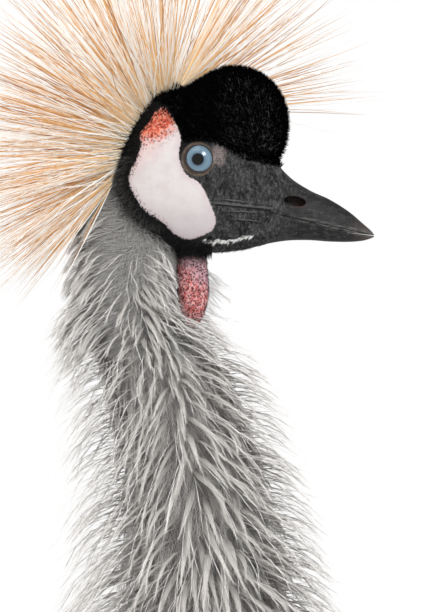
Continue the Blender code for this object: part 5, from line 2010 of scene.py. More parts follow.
@dataclass
class FaceFeathers:
    """Fine short feathers on the face, and the longer black ones behind the cheek."""

    band: Cover = Cover(
        "band_feathers", "face", density=1.7e6, length=0.0046, width=0.055,
        lean=(-0.50, 0, -0.80), lie=0.62, seed=71,
        tufts=TuftFinish("black band feathers", (0.02, 0.02, 0.02), (0.07, 0.068, 0.066),
                         (0.28, 0.274, 0.266), rough=0.85, variety=0.5, gloss=0.1,
                         dusk=(0.002, 0.002, 0.002)))
    front: Cover = Cover(
        "face_feathers", "face", density=0.62e6, length=0.0022, width=0.085,
        lean=(-0.95, 0, -0.2), lie=0.72, seed=61,
        tufts=TuftFinish("face feathers", (0.005, 0.005, 0.0055), (0.024, 0.024, 0.025),
                         (0.34, 0.34, 0.343), rough=0.8, variety=0.9))
    grey: Cover = Cover(
        "nape_feathers", "neck", density=3.6e6, length=0.0084, width=0.022,
        lean=(-0.42, 0, -0.75), lie=0.68, seed=91, stray=0.6,
        tufts=TuftFinish("nape feathers", (0.38, 0.375, 0.365), (0.58, 0.57, 0.555),
                         (0.74, 0.73, 0.715), rough=0.8, variety=0.3))
    stubble: Cover = Cover(
        "wattle_stubble", "face", density=0.9e6, length=0.0016, width=0.10,
        lean=(0, 0, -1.0), lie=0.55, seed=97,
        tufts=TuftFinish("wattle stubble", (0.004, 0.003, 0.003), (0.010, 0.006, 0.006),
                         (0.05, 0.03, 0.03), rough=0.8, variety=0.5, gloss=0.1))
    seed: int = 59

    def build(self, skin: bpy.types.Object) -> None:
        """Covers the face outside the cheeks, eyes, velvet, crest and wattle.

        Args:
            skin: the bird's skin, with its marks.
        """
        covers = (self.band, self.front, self.grey, self.stubble)
        for cover, where in zip(covers, self._areas(skin)):
            finish = cover.tufts.build()
            tufts = scattered(skin_area(skin, where, cover.name), cover, finish)
            if cover in (self.band, self.grey):
                self._darken(tufts, cover is self.grey)
            bake_by_root(tufts, (0.0, 0.0, -6.0))
            finish_piece(tufts, finish)

    def _areas(self, skin: bpy.types.Object) -> tuple:
        """Which of the skin's vertices each cover grows on.

        Args:
            skin: the bird's skin, with its marks.

        Returns:
            Flags for the band behind the cheek, the face, the nape and the wattle.
        """
        x, _, z = from_eyes(points_of(skin)).T
        face, wattle, cheek = (read_mark(skin, name) for name in ("face", "wattle", "cheek"))
        # Nothing grows on the cheek or the eye.
        bare = (cheek < -0.5) & (np.hypot(x, z) > 9.5)
        keep = bare & (wattle < -0.3)
        below = z < np.interp(x, *zip(*CAP_EDGE)) - 0.4
        behind = (x + 0.35 * (z + 20) < -12) | ((z < -38) & (x < 8)) | ((x < -13) & (z > 8))
        ahead = inside_by(np.stack((x, z), 1), CREST_AHEAD)
        # The band overlaps the cheek's rear edge and the top of the wattle.
        rear = (cheek < 1.2) & (x < -8)
        band = (bare | rear) & ((wattle < -0.3) | (z > -50)) & behind & (face > -1.0)
        band &= (ahead > -1.5) & (below | (x < -15))
        ragged = 36 + 8 * np.random.default_rng(self.seed).random(len(x))
        front = keep & ~behind & below & (face > 0.4) & (x < ragged)
        # The pale patch before the eye and the mouth's crease stay bare.
        front &= np.hypot((x - 10.8) * 0.95, (z - 2.2) * 0.63) > 3.6
        crease = np.abs(z + 23.4 + (x - 12) * 0.10)
        front &= ~((crease < 0.9) & (x > 6))
        grey = keep & (face < 1.5) & (z > -100) & (z < 20) & ((ahead > -9) | (z < -50))
        return band, front, grey, (wattle > 0.3) & (z < -46)

    @staticmethod
    def _darken(tufts: bpy.types.Object, nape: bool) -> None:
        """Stores how dusky each tuft is, from black by the cheek to grey on the nape.

        Args:
            tufts: the finished tufts, with their roots.
            nape: whether these are the nape's tufts, or the band's.
        """
        local = from_eyes(read_mark(tufts, "root", 3).astype(float))
        flat, tint = local[:, (0, 2)], read_mark(tufts, "tint")
        if nape:
            dusk = 0.74 - (tint * 4 - 1.2 - inside_by(flat, FACE_OUTLINE)) / 4.6
        else:
            away = -inside_by(flat, rounded(CHEEK_OUTLINE, 5))
            dusk = 0.93 - (away - 0.3 + tint * 4 - 2) / 4.2
            dusk = np.where((local[:, 2] > 2) | (local[:, 2] < -36), 1.0, dusk)
        store(tufts.data, "dusk", np.clip(dusk, 0, 0.97))


@dataclass
class ChinTufts:
    """The little white tufts along the edge of the chin."""

    clusters: int = 11
    in_cluster: int = 15
    line: tuple = ((3.6, -41.6), (16.0, -41.2), (29.5, -38.6))
    seed: int = 83

    def build(self) -> None:
        """Makes and dresses the tufts of both sides."""
        rng = np.random.default_rng(self.seed)
        shape = None
        for side in Side:
            middles = (np.arange(self.clusters) + rng.uniform(0.2, 0.8, self.clusters))
            t = np.repeat(middles / self.clusters, self.in_cluster)
            count = len(t)
            x, z = curve_through(self.line, t).T
            wide = np.repeat(rng.uniform(0.35, 0.75, self.clusters), self.in_cluster)
            x = x + rng.normal(0, 1, count) * wide
            z = z + rng.normal(0, 0.30, count)
            z = z + np.repeat(rng.normal(0, 0.45, self.clusters), self.in_cluster)
            y = side.value * (HeadForm.aside(x, z) - 0.3)
            root = place(np.stack((x, y, z), 1))
            way = unit(np.array((-0.85, side.value * 0.50, -0.50))
                       + rng.normal(0, 0.22, (count, 3)))
            length = rng.uniform(0.0018, 0.0034, count)
            paths = bent_paths(root, way, unit(way - UP * 0.3), length, 2)
            up = np.tile((0.0, float(side.value), 0.0), (count, 1))
            marks = {"along": np.tile((0.2, 0.6, 1.0), (count, 1)),
                     "tint": rng.uniform(0.4, 1, count)}
            marks.update(patch(t + side.value, np.full(count, 0.4)))
            made = strands(paths, up, np.tile((0.00050, 0.00040), (count, 1)), marks, flat=0.8)
            shape = shape.joined(made) if shape else made
        finish = TuftFinish("white chin tufts", (0.45, 0.44, 0.43), (0.80, 0.79, 0.78),
                            (0.92, 0.91, 0.90), rough=0.7, variety=0.2).build()
        finish_piece(shape.to_object("chin_tufts", False), finish)


@dataclass
class Crown:
    """The crown of stiff straw-gold bristles, fanned from the nape's root line.

    Fan is where the bristles point, in degrees, and half width how far they are rooted to
    each side, in millimetres, both along the root line.
    """

    count: int = 1760
    forward: int = 200
    length: float = 0.106
    width: float = 0.00049
    widest: float = 0.111
    fan: tuple = (229.0, 202.0, 168.0, 134.0, 98.0, 46.0)
    half_width: tuple = (6.0, 9.5, 12.5, 13.0, 12.0, 8.0)
    spray_root: tuple = (-15.0, 14.0, 25.5)
    spray_length: float = 0.118
    seed: int = 17

    def build(self) -> None:
        """Makes and dresses the bristles."""
        rng = np.random.default_rng(self.seed)
        root, heading, length = self._all_round(rng)
        spray = self._spray(rng)
        root, heading, length = (np.concatenate(pair) for pair in
                                 zip((root, heading, length), spray))
        loose = np.where(rng.uniform(0, 1, len(heading)) < 0.30, 0.34, 0.10)
        sway = unit(heading + rng.uniform(-1, 1, (len(heading), 3)) * column(loose))
        paths = bent_paths(root, heading, sway, length, 4)
        clear = self._stands_clear(paths, heading)
        clear &= np.abs(paths[:, -1, 1]) < self.widest
        paths, heading = paths[clear], heading[clear]
        count = len(paths)
        across = unit(np.cross(heading, rng.normal(size=(count, 3))))
        widths = self.width * np.outer(rng.uniform(0.7, 1.25, count), (1.0, 0.95, 0.85, 0.65))
        marks = {"along": np.tile(np.linspace(0, 1, 5), (count, 1)),
                 "tint": rng.uniform(0, 1, count)}
        turn = np.arctan2(heading[:, 2], heading[:, 0])
        marks.update(patch(turn, 0.5 + 0.5 * heading[:, 1]))
        piece = strands(paths, across, widths, marks, flat=0.7).to_object("crown_bristles", False)
        finish_piece(piece, BristleFinish().build(), ("crest",))

    def _all_round(self, rng: np.random.Generator) -> tuple:
        """Roots, headings and lengths of the bristles that fan from the root line.

        Args:
            rng: where draws come from.

        Returns:
            The three, one row a bristle, in metres.
        """
        share = 0.5 + 0.5 * np.clip(rng.uniform(-1.04, 1.04, self.count), -1, 1)
        line = curve_through(ROOT_LINE, share)
        rows = np.column_stack((self.fan, self.half_width))
        turn, half = curve_through(rows, share).T
        level = rng.uniform(-1, 1, self.count)
        inward = rng.uniform(0, 3.0, self.count)
        root = np.stack((line[:, 0], half * level, line[:, 1]), 1)
        turn = np.radians(turn + rng.normal(0, 11, self.count) * (0.35 + 0.65 * np.abs(level)))
        aside = level * 0.94
        flat = np.sqrt(1 - aside ** 2)
        heading = np.stack((flat * np.cos(turn), aside, flat * np.sin(turn)), 1)
        heading = unit(heading + rng.normal(0, 0.02, heading.shape))
        root = place(root - heading * column(0.8 + inward))
        low = np.interp(share, (0, 0.25, 0.7, 1), (0.80, 0.92, 1.0, 0.98))
        length = self.length * low * rng.uniform(0.82, 1.06, self.count)
        room = (self.widest - np.abs(root[:, 1])) / np.maximum(np.abs(heading[:, 1]), 1e-3)
        return root, heading, np.minimum(length, room * rng.uniform(0.90, 0.99, self.count))

    def _spray(self, rng: np.random.Generator) -> tuple:
        """Roots, headings and lengths of the far side's thin spray that leans ahead.

        Args:
            rng: where draws come from.

        Returns:
            The three, one row a bristle, in metres.
        """
        turn = np.radians(rng.uniform(4, 66, self.forward))
        aside = rng.uniform(0.30, 0.62, self.forward)
        heading = unit(np.stack((np.cos(turn), aside, np.sin(turn)), 1))
        root = place(self.spray_root) + heading * 0.002
        root[:, 0] += rng.uniform(-5, 5, self.forward) * MM
        return root, heading, self.spray_length * rng.uniform(0.80, 1.04, self.forward)

    @staticmethod
    def _stands_clear(paths: np.ndarray, heading: np.ndarray) -> np.ndarray:
        """Which bristles clear the head, velvet and neck and leave the near face open.

        Args:
            paths: points along each bristle, in metres.
            heading: each bristle's heading at its root.

        Returns:
            A flag for each bristle.
        """
        angle = np.degrees(np.arctan2(heading[:, 2], heading[:, 0])) % 360
        clear = (angle > 3) & (angle < 250)
        middles = [NECK.axes(np.array([k / 24]))[0][0] for k in range(13)]
        reaches = [NECK.axes(np.array([k / 24]))[3][0].max() for k in range(13)]
        for share in (0.1, 0.18, 0.26, 0.36, 0.5, 0.65, 0.8, 1.0):
            point = paths[:, 0] * (1 - share) + paths[:, -1] * share
            local = from_eyes(point)
            clear &= CapForm.depth(local, 1.5) > 1
            if share > 0.1:
                clear &= HeadForm.depth(local) > 1.12
            if share > 0.2:
                for middle, reach in zip(middles, reaches):
                    clear &= np.linalg.norm(point - middle, axis=1) > (reach + 3) * MM
            near = (heading[:, 1] < 0.12) & (share > 0.3)
            clear &= ~(near & (local[:, 0] > -6 + 0.28 * np.maximum(local[:, 2] - 30, 0)))
        return clear


@dataclass(frozen=True)
class Hackles:
    """One kind of loose neck feather.

    They grow from the first share of the neck to the last, in a number of pieces. Lift, how
    far they stand off, and length, in millimetres, are each paired with a share of the neck.
    Spread, in degrees, and reach, as a share of the feather, are those of the barbs at its
    root and its tip. Vane is the blade's width in millimetres, or 0 for a bare shaft, and
    turns are the degrees round the neck, where it isn't all round. Gather is how far
    feathers draw into locks, and thin how many are left out on the upper neck.
    """

    count: int
    barbs: int
    first: float
    last: float
    lift: tuple
    length: tuple
    spread: tuple
    reach: tuple
    pieces: int = 1
    vane: float = 0.0
    turns: tuple = ()
    gather: float = 0.65
    thin: float = 0.0


@dataclass
class NeckPlumage:
    """The loose silver-grey feathers of the neck, from the nape down to the breast."""

    seed: int = 23
    locks: int = 560
    lock_seed: int = 29
    long: Hackles = Hackles(
        count=1430, barbs=42, first=0.215, last=0.985,
        lift=((0.1, 1.1), (0.6, 1.15), (1.0, 0.6)),
        length=((0.1, 21), (0.3, 31), (0.45, 38), (0.65, 50), (0.9, 66)),
        spread=(27, 11), reach=(0.14, 0.08), pieces=2, vane=4.0, gather=0.5, thin=1.0)
    hairs: Hackles = Hackles(
        count=1500, barbs=4, first=0.15, last=0.985,
        lift=((0.0, 1.1), (0.6, 1.2), (1.0, 0.7)),
        length=((0.0, 14), (0.12, 22), (0.25, 37), (0.5, 50), (0.9, 68)),
        spread=(8, 4), reach=(0.42, 0.22), pieces=2, gather=0.25)
    short: Hackles = Hackles(
        count=4300, barbs=18, first=0.12, last=0.98,
        lift=((0.0, 0.38), (0.3, 0.38), (0.6, 0.52), (1.0, 0.5)),
        length=((0.0, 9), (0.15, 12), (0.45, 19), (0.7, 30), (1.0, 36)),
        spread=(46, 22), reach=(0.26, 0.13), pieces=2, gather=0.5)
    nape: Hackles = Hackles(
        count=330, barbs=40, first=0.05, last=0.30,
        lift=((0.0, 0.8), (0.2, 0.95), (0.4, 1.0)),
        length=((0.0, 17), (0.15, 30), (0.3, 32)),
        spread=(40, 20), reach=(0.22, 0.12), turns=(140, 235))
    throat: Hackles = Hackles(
        count=130, barbs=40, first=0.10, last=0.30,
        lift=((0.0, 0.95), (0.4, 0.95)), length=((0.1, 38), (0.3, 50)),
        spread=(32, 16), reach=(0.18, 0.10), turns=(26, 56), gather=0.2)

    def build(self) -> None:
        """Makes and dresses the feathers."""
        rng = np.random.default_rng(self.seed)
        # The darker roots paint shade among the bases; the long hackles' pale shafts are partly
        # painted highlight.
        long = PlumeFinish("long neck hackles", (0.43, 0.41, 0.39), (0.80, 0.77, 0.74),
                           (0.88, 0.85, 0.82), rough=0.85, barbs=60.0).build()
        hairs = TuftFinish("neck filoplumes", (0.45, 0.43, 0.415), (0.84, 0.82, 0.795),
                           (0.96, 0.945, 0.92), rough=0.75, variety=0.2).build()
        short = TuftFinish("short neck feathers", (0.38, 0.365, 0.35), (0.58, 0.56, 0.54),
                           (0.76, 0.74, 0.715), rough=0.85, variety=0.2).build()
        pale = TuftFinish("pale throat feathers", (0.86, 0.855, 0.85), (0.95, 0.945, 0.94),
                           (0.97, 0.965, 0.96), rough=0.8, variety=0.05).build()
        soft = TuftFinish("soft nape fluff", (0.42, 0.41, 0.40), (0.66, 0.645, 0.625),
                          (0.86, 0.845, 0.82), rough=0.8, variety=0.2).build()
        for kind, name, finish in ((self.short, "neck_down", short),
                                   (self.long, "neck_hackles", long),
                                   (self.hairs, "neck_filoplumes", hairs),
                                   (self.nape, "nape_fluff", soft),
                                   (self.throat, "throat_fluff", pale)):
            share, angle = self._places(kind, rng)
            bounds = np.linspace(0, len(share), kind.pieces + 1).astype(int)
            for k, (low, high) in enumerate(zip(bounds[:-1], bounds[1:])):
                shape = self._grown(kind, share[low:high], angle[low:high], rng)
                piece = shape.to_object(f"{name}_{k + 1}", False)
                finish_piece(piece, finish, ("neck",))

    @staticmethod
    def _places(kind: Hackles, rng: np.random.Generator) -> tuple:
        """Where feathers are rooted: behind the face, and clear of the wattle.

        Args:
            kind: the kind of feather.
            rng: where draws come from.

        Returns:
            Shares down the neck and angles round it, in radians.
        """
        share = np.sort(rng.uniform(kind.first, kind.last, kind.count))
        angle = 2 * math.pi * ((np.arange(kind.count) * 0.381966) % 1.0)
        if kind.turns:
            angle = np.radians(rng.uniform(*kind.turns, kind.count))
        local = from_eyes(NECK.point(share, angle, -1.0))
        keep = inside_by(local[:, (0, 2)], FACE_OUTLINE) < -1.5
        keep &= HeadForm.depth(local) > 1.0
        turn = np.degrees(angle) % 360
        keep &= ~((turn > 8) & (turn < 85) & (share < 0.30) & (not kind.turns))
        sparse = np.where(np.cos(angle) < 0, 0.40, 0.20) * kind.thin
        sparse *= (np.abs(np.cos(angle)) > 0.3) & (share > 0.18) & (share < 0.50)
        keep &= rng.uniform(0, 1, kind.count) >= sparse
        return share[keep], angle[keep]

    def _grown(self, kind: Hackles, share: np.ndarray, angle: np.ndarray,
               rng: np.random.Generator) -> Shape:
        """The feathers rooted at these shares and angles.

        Args:
            kind: the kind of feather.
            share: places of the roots down the neck.
            angle: directions of the roots round it, in radians.
            rng: where draws come from.

        Returns:
            The feathers, as one shape.
        """
        count = len(share)
        root = NECK.point(share, angle, -1.0)
        root -= tuck(root)
        # The feathers part along the sides and turn out to the nape and the throat.
        down = NECK.axes(share)[1]
        upper = np.interp(share, (0.30, 0.55), (1.0, 0.0))
        out = NECK.outward(share, angle)
        out[:, 0] *= 1.8 + 1.5 * upper
        out = unit(out)
        lift, length = self._sizes(kind, share, angle, rng)
        across = unit(np.cross(down, out))
        # Neighbours sway together, so the feathers part in locks.
        sway = 0.26 * np.sin(share * 63 + angle * 3.7) * np.cos(share * 41 - angle * 2.9)
        jitter = rng.normal(0, 0.05, (count, 3)) + across * column(sway)
        start = unit(down * column(1.02 - lift * 0.9) + out * column(lift) + jitter * 0.5)
        end = unit(down * column(0.9 - 0.3 * upper)
                   + out * column(lift * rng.uniform(0.30, 0.85, count))
                   + jitter * 1.6 + np.array((0, 0, -0.10)))
        paths = self._gathered(bent_paths(root, start, end, length, 4), kind.gather)
        clear = self._off_the_wattle(paths)
        paths, across, length = paths[clear], across[clear], length[clear]
        share, angle, count = share[clear], angle[clear], int(clear.sum())
        tint = rng.uniform(0, 1, count)
        where = patch(angle, share)
        ups = unit(np.cross(across[:, None], unit(np.diff(paths, axis=1))))
        if kind.vane:
            full = kind.vane * MM * (0.45 + 0.9 * share) * rng.uniform(0.8, 1.15, count)
            widths = np.outer(full, (0.6, 1.0, 0.72, 0.40))
            core = vanes(paths, ups, widths, {"tint": tint, **where}, crown=0.14, thick=0.25)
        else:
            marks = {"along": np.tile(np.linspace(0, 1, 5), (count, 1)), "tint": tint,
                     "across": np.zeros(count), **where}
            widths = np.outer(0.0002 + 0.0005 * share, (1.0, 0.85, 0.7, 0.5))
            core = strands(paths, ups[:, 1], widths, marks)
        return core.joined(self._barbs(kind, paths, across, ups, length, tint, where, rng))

    @staticmethod
    def _sizes(kind: Hackles, share: np.ndarray, angle: np.ndarray,
               rng: np.random.Generator) -> tuple:
        """How far feathers stand off and how long they are.

        Args:
            kind: the kind of feather.
            share: places of the roots down the neck.
            angle: directions of the roots round it, in radians.
            rng: where draws come from.

        Returns:
            The lift and the length in metres of each feather.
        """
        count, ahead = len(share), np.cos(angle)
        upper = np.interp(share, (0.30, 0.55), (1.0, 0.0))
        lift = np.interp(share, *zip(*kind.lift)) * rng.uniform(0.75, 1.15, count)
        lift *= 0.70 + 0.35 * np.abs(ahead)
        length = np.interp(share, *zip(*kind.length)) * MM * rng.uniform(0.72, 1.10, count)
        length *= 1 - 0.40 * (1 - np.abs(ahead)) * upper
        length *= np.where((ahead < -0.3) & (share < 0.22), 0.62, 1.0)
        length *= np.where((ahead > 0.15) & (share > 0.22), 0.76, 1.0)
        length *= np.where(ahead < -0.15, np.interp(share, (0.42, 0.6), (1.0, 1.22)), 1.0)
        return lift, length

    def _gathered(self, paths: np.ndarray, pull: float) -> np.ndarray:
        """Draws neighbouring feathers together towards their tips, into pointed locks.

        Args:
            paths: points along each feather, in metres.
            pull: how far they draw together, 0 to 1.

        Returns:
            The drawn paths.
        """
        rng, locks = np.random.default_rng(self.lock_seed), self.locks
        middles = NECK.point(rng.uniform(0.10, 1, locks), rng.uniform(0, 2 * math.pi, locks))
        lock = np.linalg.norm(paths[:, :1] - middles[None], axis=2).argmin(1)
        sums = np.zeros((locks,) + paths.shape[1:])
        np.add.at(sums, lock, paths)
        mean = sums / column(column(np.maximum(np.bincount(lock, minlength=locks), 1)))
        toward = (mean[lock] - paths) * pull
        return paths + toward * column(np.linspace(0, 1, paths.shape[1]))

    @staticmethod
    def _off_the_wattle(paths: np.ndarray) -> np.ndarray:
        """Which feathers keep off the near side of the wattle.

        Args:
            paths: points along each feather, in metres.

        Returns:
            A flag for each feather.
        """
        local = from_eyes(paths)
        x = wattle_at(local[..., 2], 0)
        over = (np.abs(local[..., 0] - x - 0.8) < 7.6) & (np.abs(local[..., 2] + 62) < 18)
        return ~(over & (local[..., 1] < 9)).any(axis=1)

    @staticmethod
    def _barbs(kind: Hackles, paths: np.ndarray, across: np.ndarray, ups: np.ndarray,
               length: np.ndarray, tint: np.ndarray, where: dict,
               rng: np.random.Generator) -> Shape:
        """Fine barbs down both sides of each shaft, shorter and closer to it at the tip.

        Args:
            kind: the kind of feather.
            paths: points along each shaft.
            across: directions across each vane.
            ups: directions out of it.
            length: each feather's length, in metres.
            tint: each feather's shade.
            where: places on the unwrap of each feather.
            rng: where draws come from.

        Returns:
            The barbs, as one shape.
        """
        count, each = len(paths), kind.barbs
        t = np.tile((np.arange(each) + 0.5) / each, (count, 1)) * 0.90 + 0.06
        t = np.clip(t + rng.normal(0, 0.012, t.shape), 0.04, 0.98)
        at = t * (paths.shape[1] - 1)
        low = np.minimum(at.astype(int), paths.shape[1] - 2)
        rows = np.arange(count)[:, None]
        a, b = paths[rows, low], paths[rows, low + 1]
        root = a + (b - a) * column(at - low)
        heading = unit(b - a)
        side = across[:, None] * column(np.where(np.arange(each) % 2, 1.0, -1.0))
        wide, close = kind.spread
        angle = np.radians(wide + (close - wide) * t) * rng.uniform(0.5, 1.25, t.shape)
        way = unit(heading * column(np.cos(angle)) + side * column(np.sin(angle))
                   + rng.normal(0, 0.045, (count, each, 3)) - UP * 0.05 * column(1 - t))
        share = kind.reach[0] + (kind.reach[1] - kind.reach[0]) * t
        reach = length[:, None] * share * rng.uniform(0.7, 1.15, t.shape) + 0.0024
        ends = np.stack((root, root + way * column(reach)), 2).reshape(-1, 2, 3)
        marks = {"along": np.stack((t * 0.85, np.minimum(t + 0.25, 1.0)), 2).reshape(-1, 2),
                 "tint": np.clip(tint[:, None] + rng.normal(0, 0.2, t.shape), 0, 1).ravel(),
                 "across": np.full(count * each, 0.8)}
        marks.update({name: np.repeat(values, each) for name, values in where.items()})
        marks["v"] = marks["v"] + (t.ravel() - 0.5) * 0.003
        widths = np.full((count * each, 1), 0.00030)
        return strands(ends, ups[rows, low].reshape(-1, 3), widths, marks, flat=0.8)


@dataclass(frozen=True)
class Tier:
    """One tier of wing feathers over the mantle.

    Share and length are shares of the mantle, first, last and droop are degrees round it,
    and width and layer, the height over it, are in millimetres.
    """

    share: float
    first: float
    last: float
    count: int
    length: float
    width: float
    layer: float
    droop: float


@dataclass
class Wings:
    """The folded wings: white coverts, golden plumes, chestnut and black flight feathers.

    The arm is so many millimetres deep. It starts and is as long as these shares of the
    mantle, and lies at these degrees round it.
    """

    deep: float = 13.0
    arm_start: float = 0.06
    arm_length: float = 0.56
    arm_middle: float = 57.75
    arm_half: float = 54.25
    seed: int = 31
    tiers: dict = field(default_factory=lambda: {
        "lesser": (Tier(0.07, 12, 92, 9, 0.15, 26, 3.4, 4),
                   Tier(0.13, 9, 96, 10, 0.15, 27, 3.1, 4)),
        "median": (Tier(0.20, 9, 99, 10, 0.16, 29, 2.8, 4),
                   Tier(0.27, 9, 101, 10, 0.17, 30, 2.5, 4)),
        "greater": (Tier(0.34, 9, 101, 11, 0.19, 31, 2.2, 4),
                    Tier(0.42, 9, 99, 11, 0.20, 31, 1.9, 4)),
        "golden": (Tier(0.47, 9, 78, 17, 0.38, 9, 3.4, 14),
                   Tier(0.52, 11, 76, 14, 0.36, 8, 4.2, 13)),
        "chestnut": (Tier(0.50, 15, 68, 8, 0.45, 30, 0.2, 10),),
        "black": (Tier(0.50, 70, 106, 8, 0.48, 20, 0.0, -6),),
    })

    def build(self) -> None:
        """Makes and dresses both wings."""
        white = PlumeFinish("white coverts", (0.74, 0.72, 0.66), (0.88, 0.86, 0.80),
                            (0.60, 0.57, 0.50)).build()
        gold = PlumeFinish("golden plumes", (0.84, 0.70, 0.42), (0.78, 0.50, 0.16),
                           (0.62, 0.42, 0.18)).build()
        chestnut = PlumeFinish("chestnut flight feathers", (0.20, 0.065, 0.025),
                               (0.11, 0.035, 0.016), (0.05, 0.03, 0.02)).build()
        black = PlumeFinish("black flight feathers", (0.016, 0.016, 0.018),
                            (0.010, 0.010, 0.012), (0.05, 0.045, 0.04), rough=0.5).build()
        finishes = {"lesser": white, "median": white, "greater": white, "golden": gold,
                    "chestnut": chestnut, "black": black}
        for side in Side:
            word = side.name.lower()
            rng = np.random.default_rng(self.seed)
            arm = self._arm(side).to_object(f"wing_arm_{word}")
            finish_piece(arm, white, (f"wing_{word}",))
            for name, rows in self.tiers.items():
                shape = self._row(rows[0], side, rng)
                for tier in rows[1:]:
                    shape = shape.joined(self._row(tier, side, rng))
                piece = shape.to_object(f"wing_{name}_{word}")
                finish_piece(piece, finishes[name], (f"wing_{word}",))

    def _arm(self, side: Side) -> Shape:
        """The folded arm, a rounded plate on the side of the trunk.

        Args:
            side: the side of the bird.

        Returns:
            The arm.
        """
        lengths, arcs = 40, 26
        t = np.linspace(0, 1, lengths + 1)
        share = self.arm_start + self.arm_length * t
        squeeze = np.sin(np.pi * np.clip(0.12 + 0.8 * t, 0.06, 1.0)) ** 0.5
        middle = math.radians(self.arm_middle)
        half = math.radians(self.arm_half) * (0.45 + 0.55 * squeeze)
        edge = middle + half[:, None] * np.linspace(-1, 1, arcs + 1)
        shares = np.repeat(share, arcs + 1)
        top = MANTLE.point(shares, side.value * edge.ravel(), -0.4)
        low = MANTLE.point(shares, side.value * edge[:, ::-1].ravel(), -self.deep)
        rings = np.concatenate((top.reshape(lengths + 1, arcs + 1, 3),
                                low.reshape(lengths + 1, arcs + 1, 3)), 1)
        shape = lofted(rings)
        count = len(shape.points)
        shape.marks = {"along": np.zeros(count), "across": np.full(count, 0.5),
                       "tint": np.full(count, 0.5)}
        return shape

    @staticmethod
    def _row(tier: Tier, side: Side, rng: np.random.Generator) -> Shape:
        """One tier's feathers, each with one edge under its neighbour, like slats.

        Args:
            tier: the tier.
            side: the side of the bird.
            rng: where draws come from.

        Returns:
            The feathers, as one shape.
        """
        places, count = 6, tier.count
        first = np.radians(np.linspace(tier.first, tier.last, count))
        first = first + rng.normal(0, 0.012, count)
        share = tier.share + rng.normal(0, 0.006, count)
        length = tier.length * rng.uniform(0.93, 1.04, count)
        t = np.linspace(0, 1, places)
        at = np.minimum(share[:, None] + length[:, None] * t, 1.0)
        angle = first[:, None] + math.radians(tier.droop) * t ** 2
        height = tier.layer + (0.8 + 2.6 * t) + 0 * angle
        height = height + rng.uniform(-0.3, 0.3, count)[:, None]
        height[:, 0] = tier.layer - 2.2
        paths = MANTLE.point(at.ravel(), side.value * angle.ravel(), height.ravel())
        paths = paths.reshape(count, places, 3)
        out = MANTLE.outward(at[:, :-1].ravel(), side.value * angle[:, :-1].ravel())
        out = out.reshape(count, places - 1, 3)
        across = unit(np.cross(unit(np.diff(paths, axis=1)), out)) * side.value
        up = unit(out - across * 0.16)
        widths = tier.width * MM * np.outer(rng.uniform(0.92, 1.06, count),
                                            (0.45, 0.86, 1.0, 0.98, 0.72))
        marks = {"tint": rng.uniform(0, 1, count)}
        marks.update(patch(side.value * first, np.clip(share, 0, 1)))
        return vanes(paths, up, widths, marks, crown=0.16, thick=0.5)


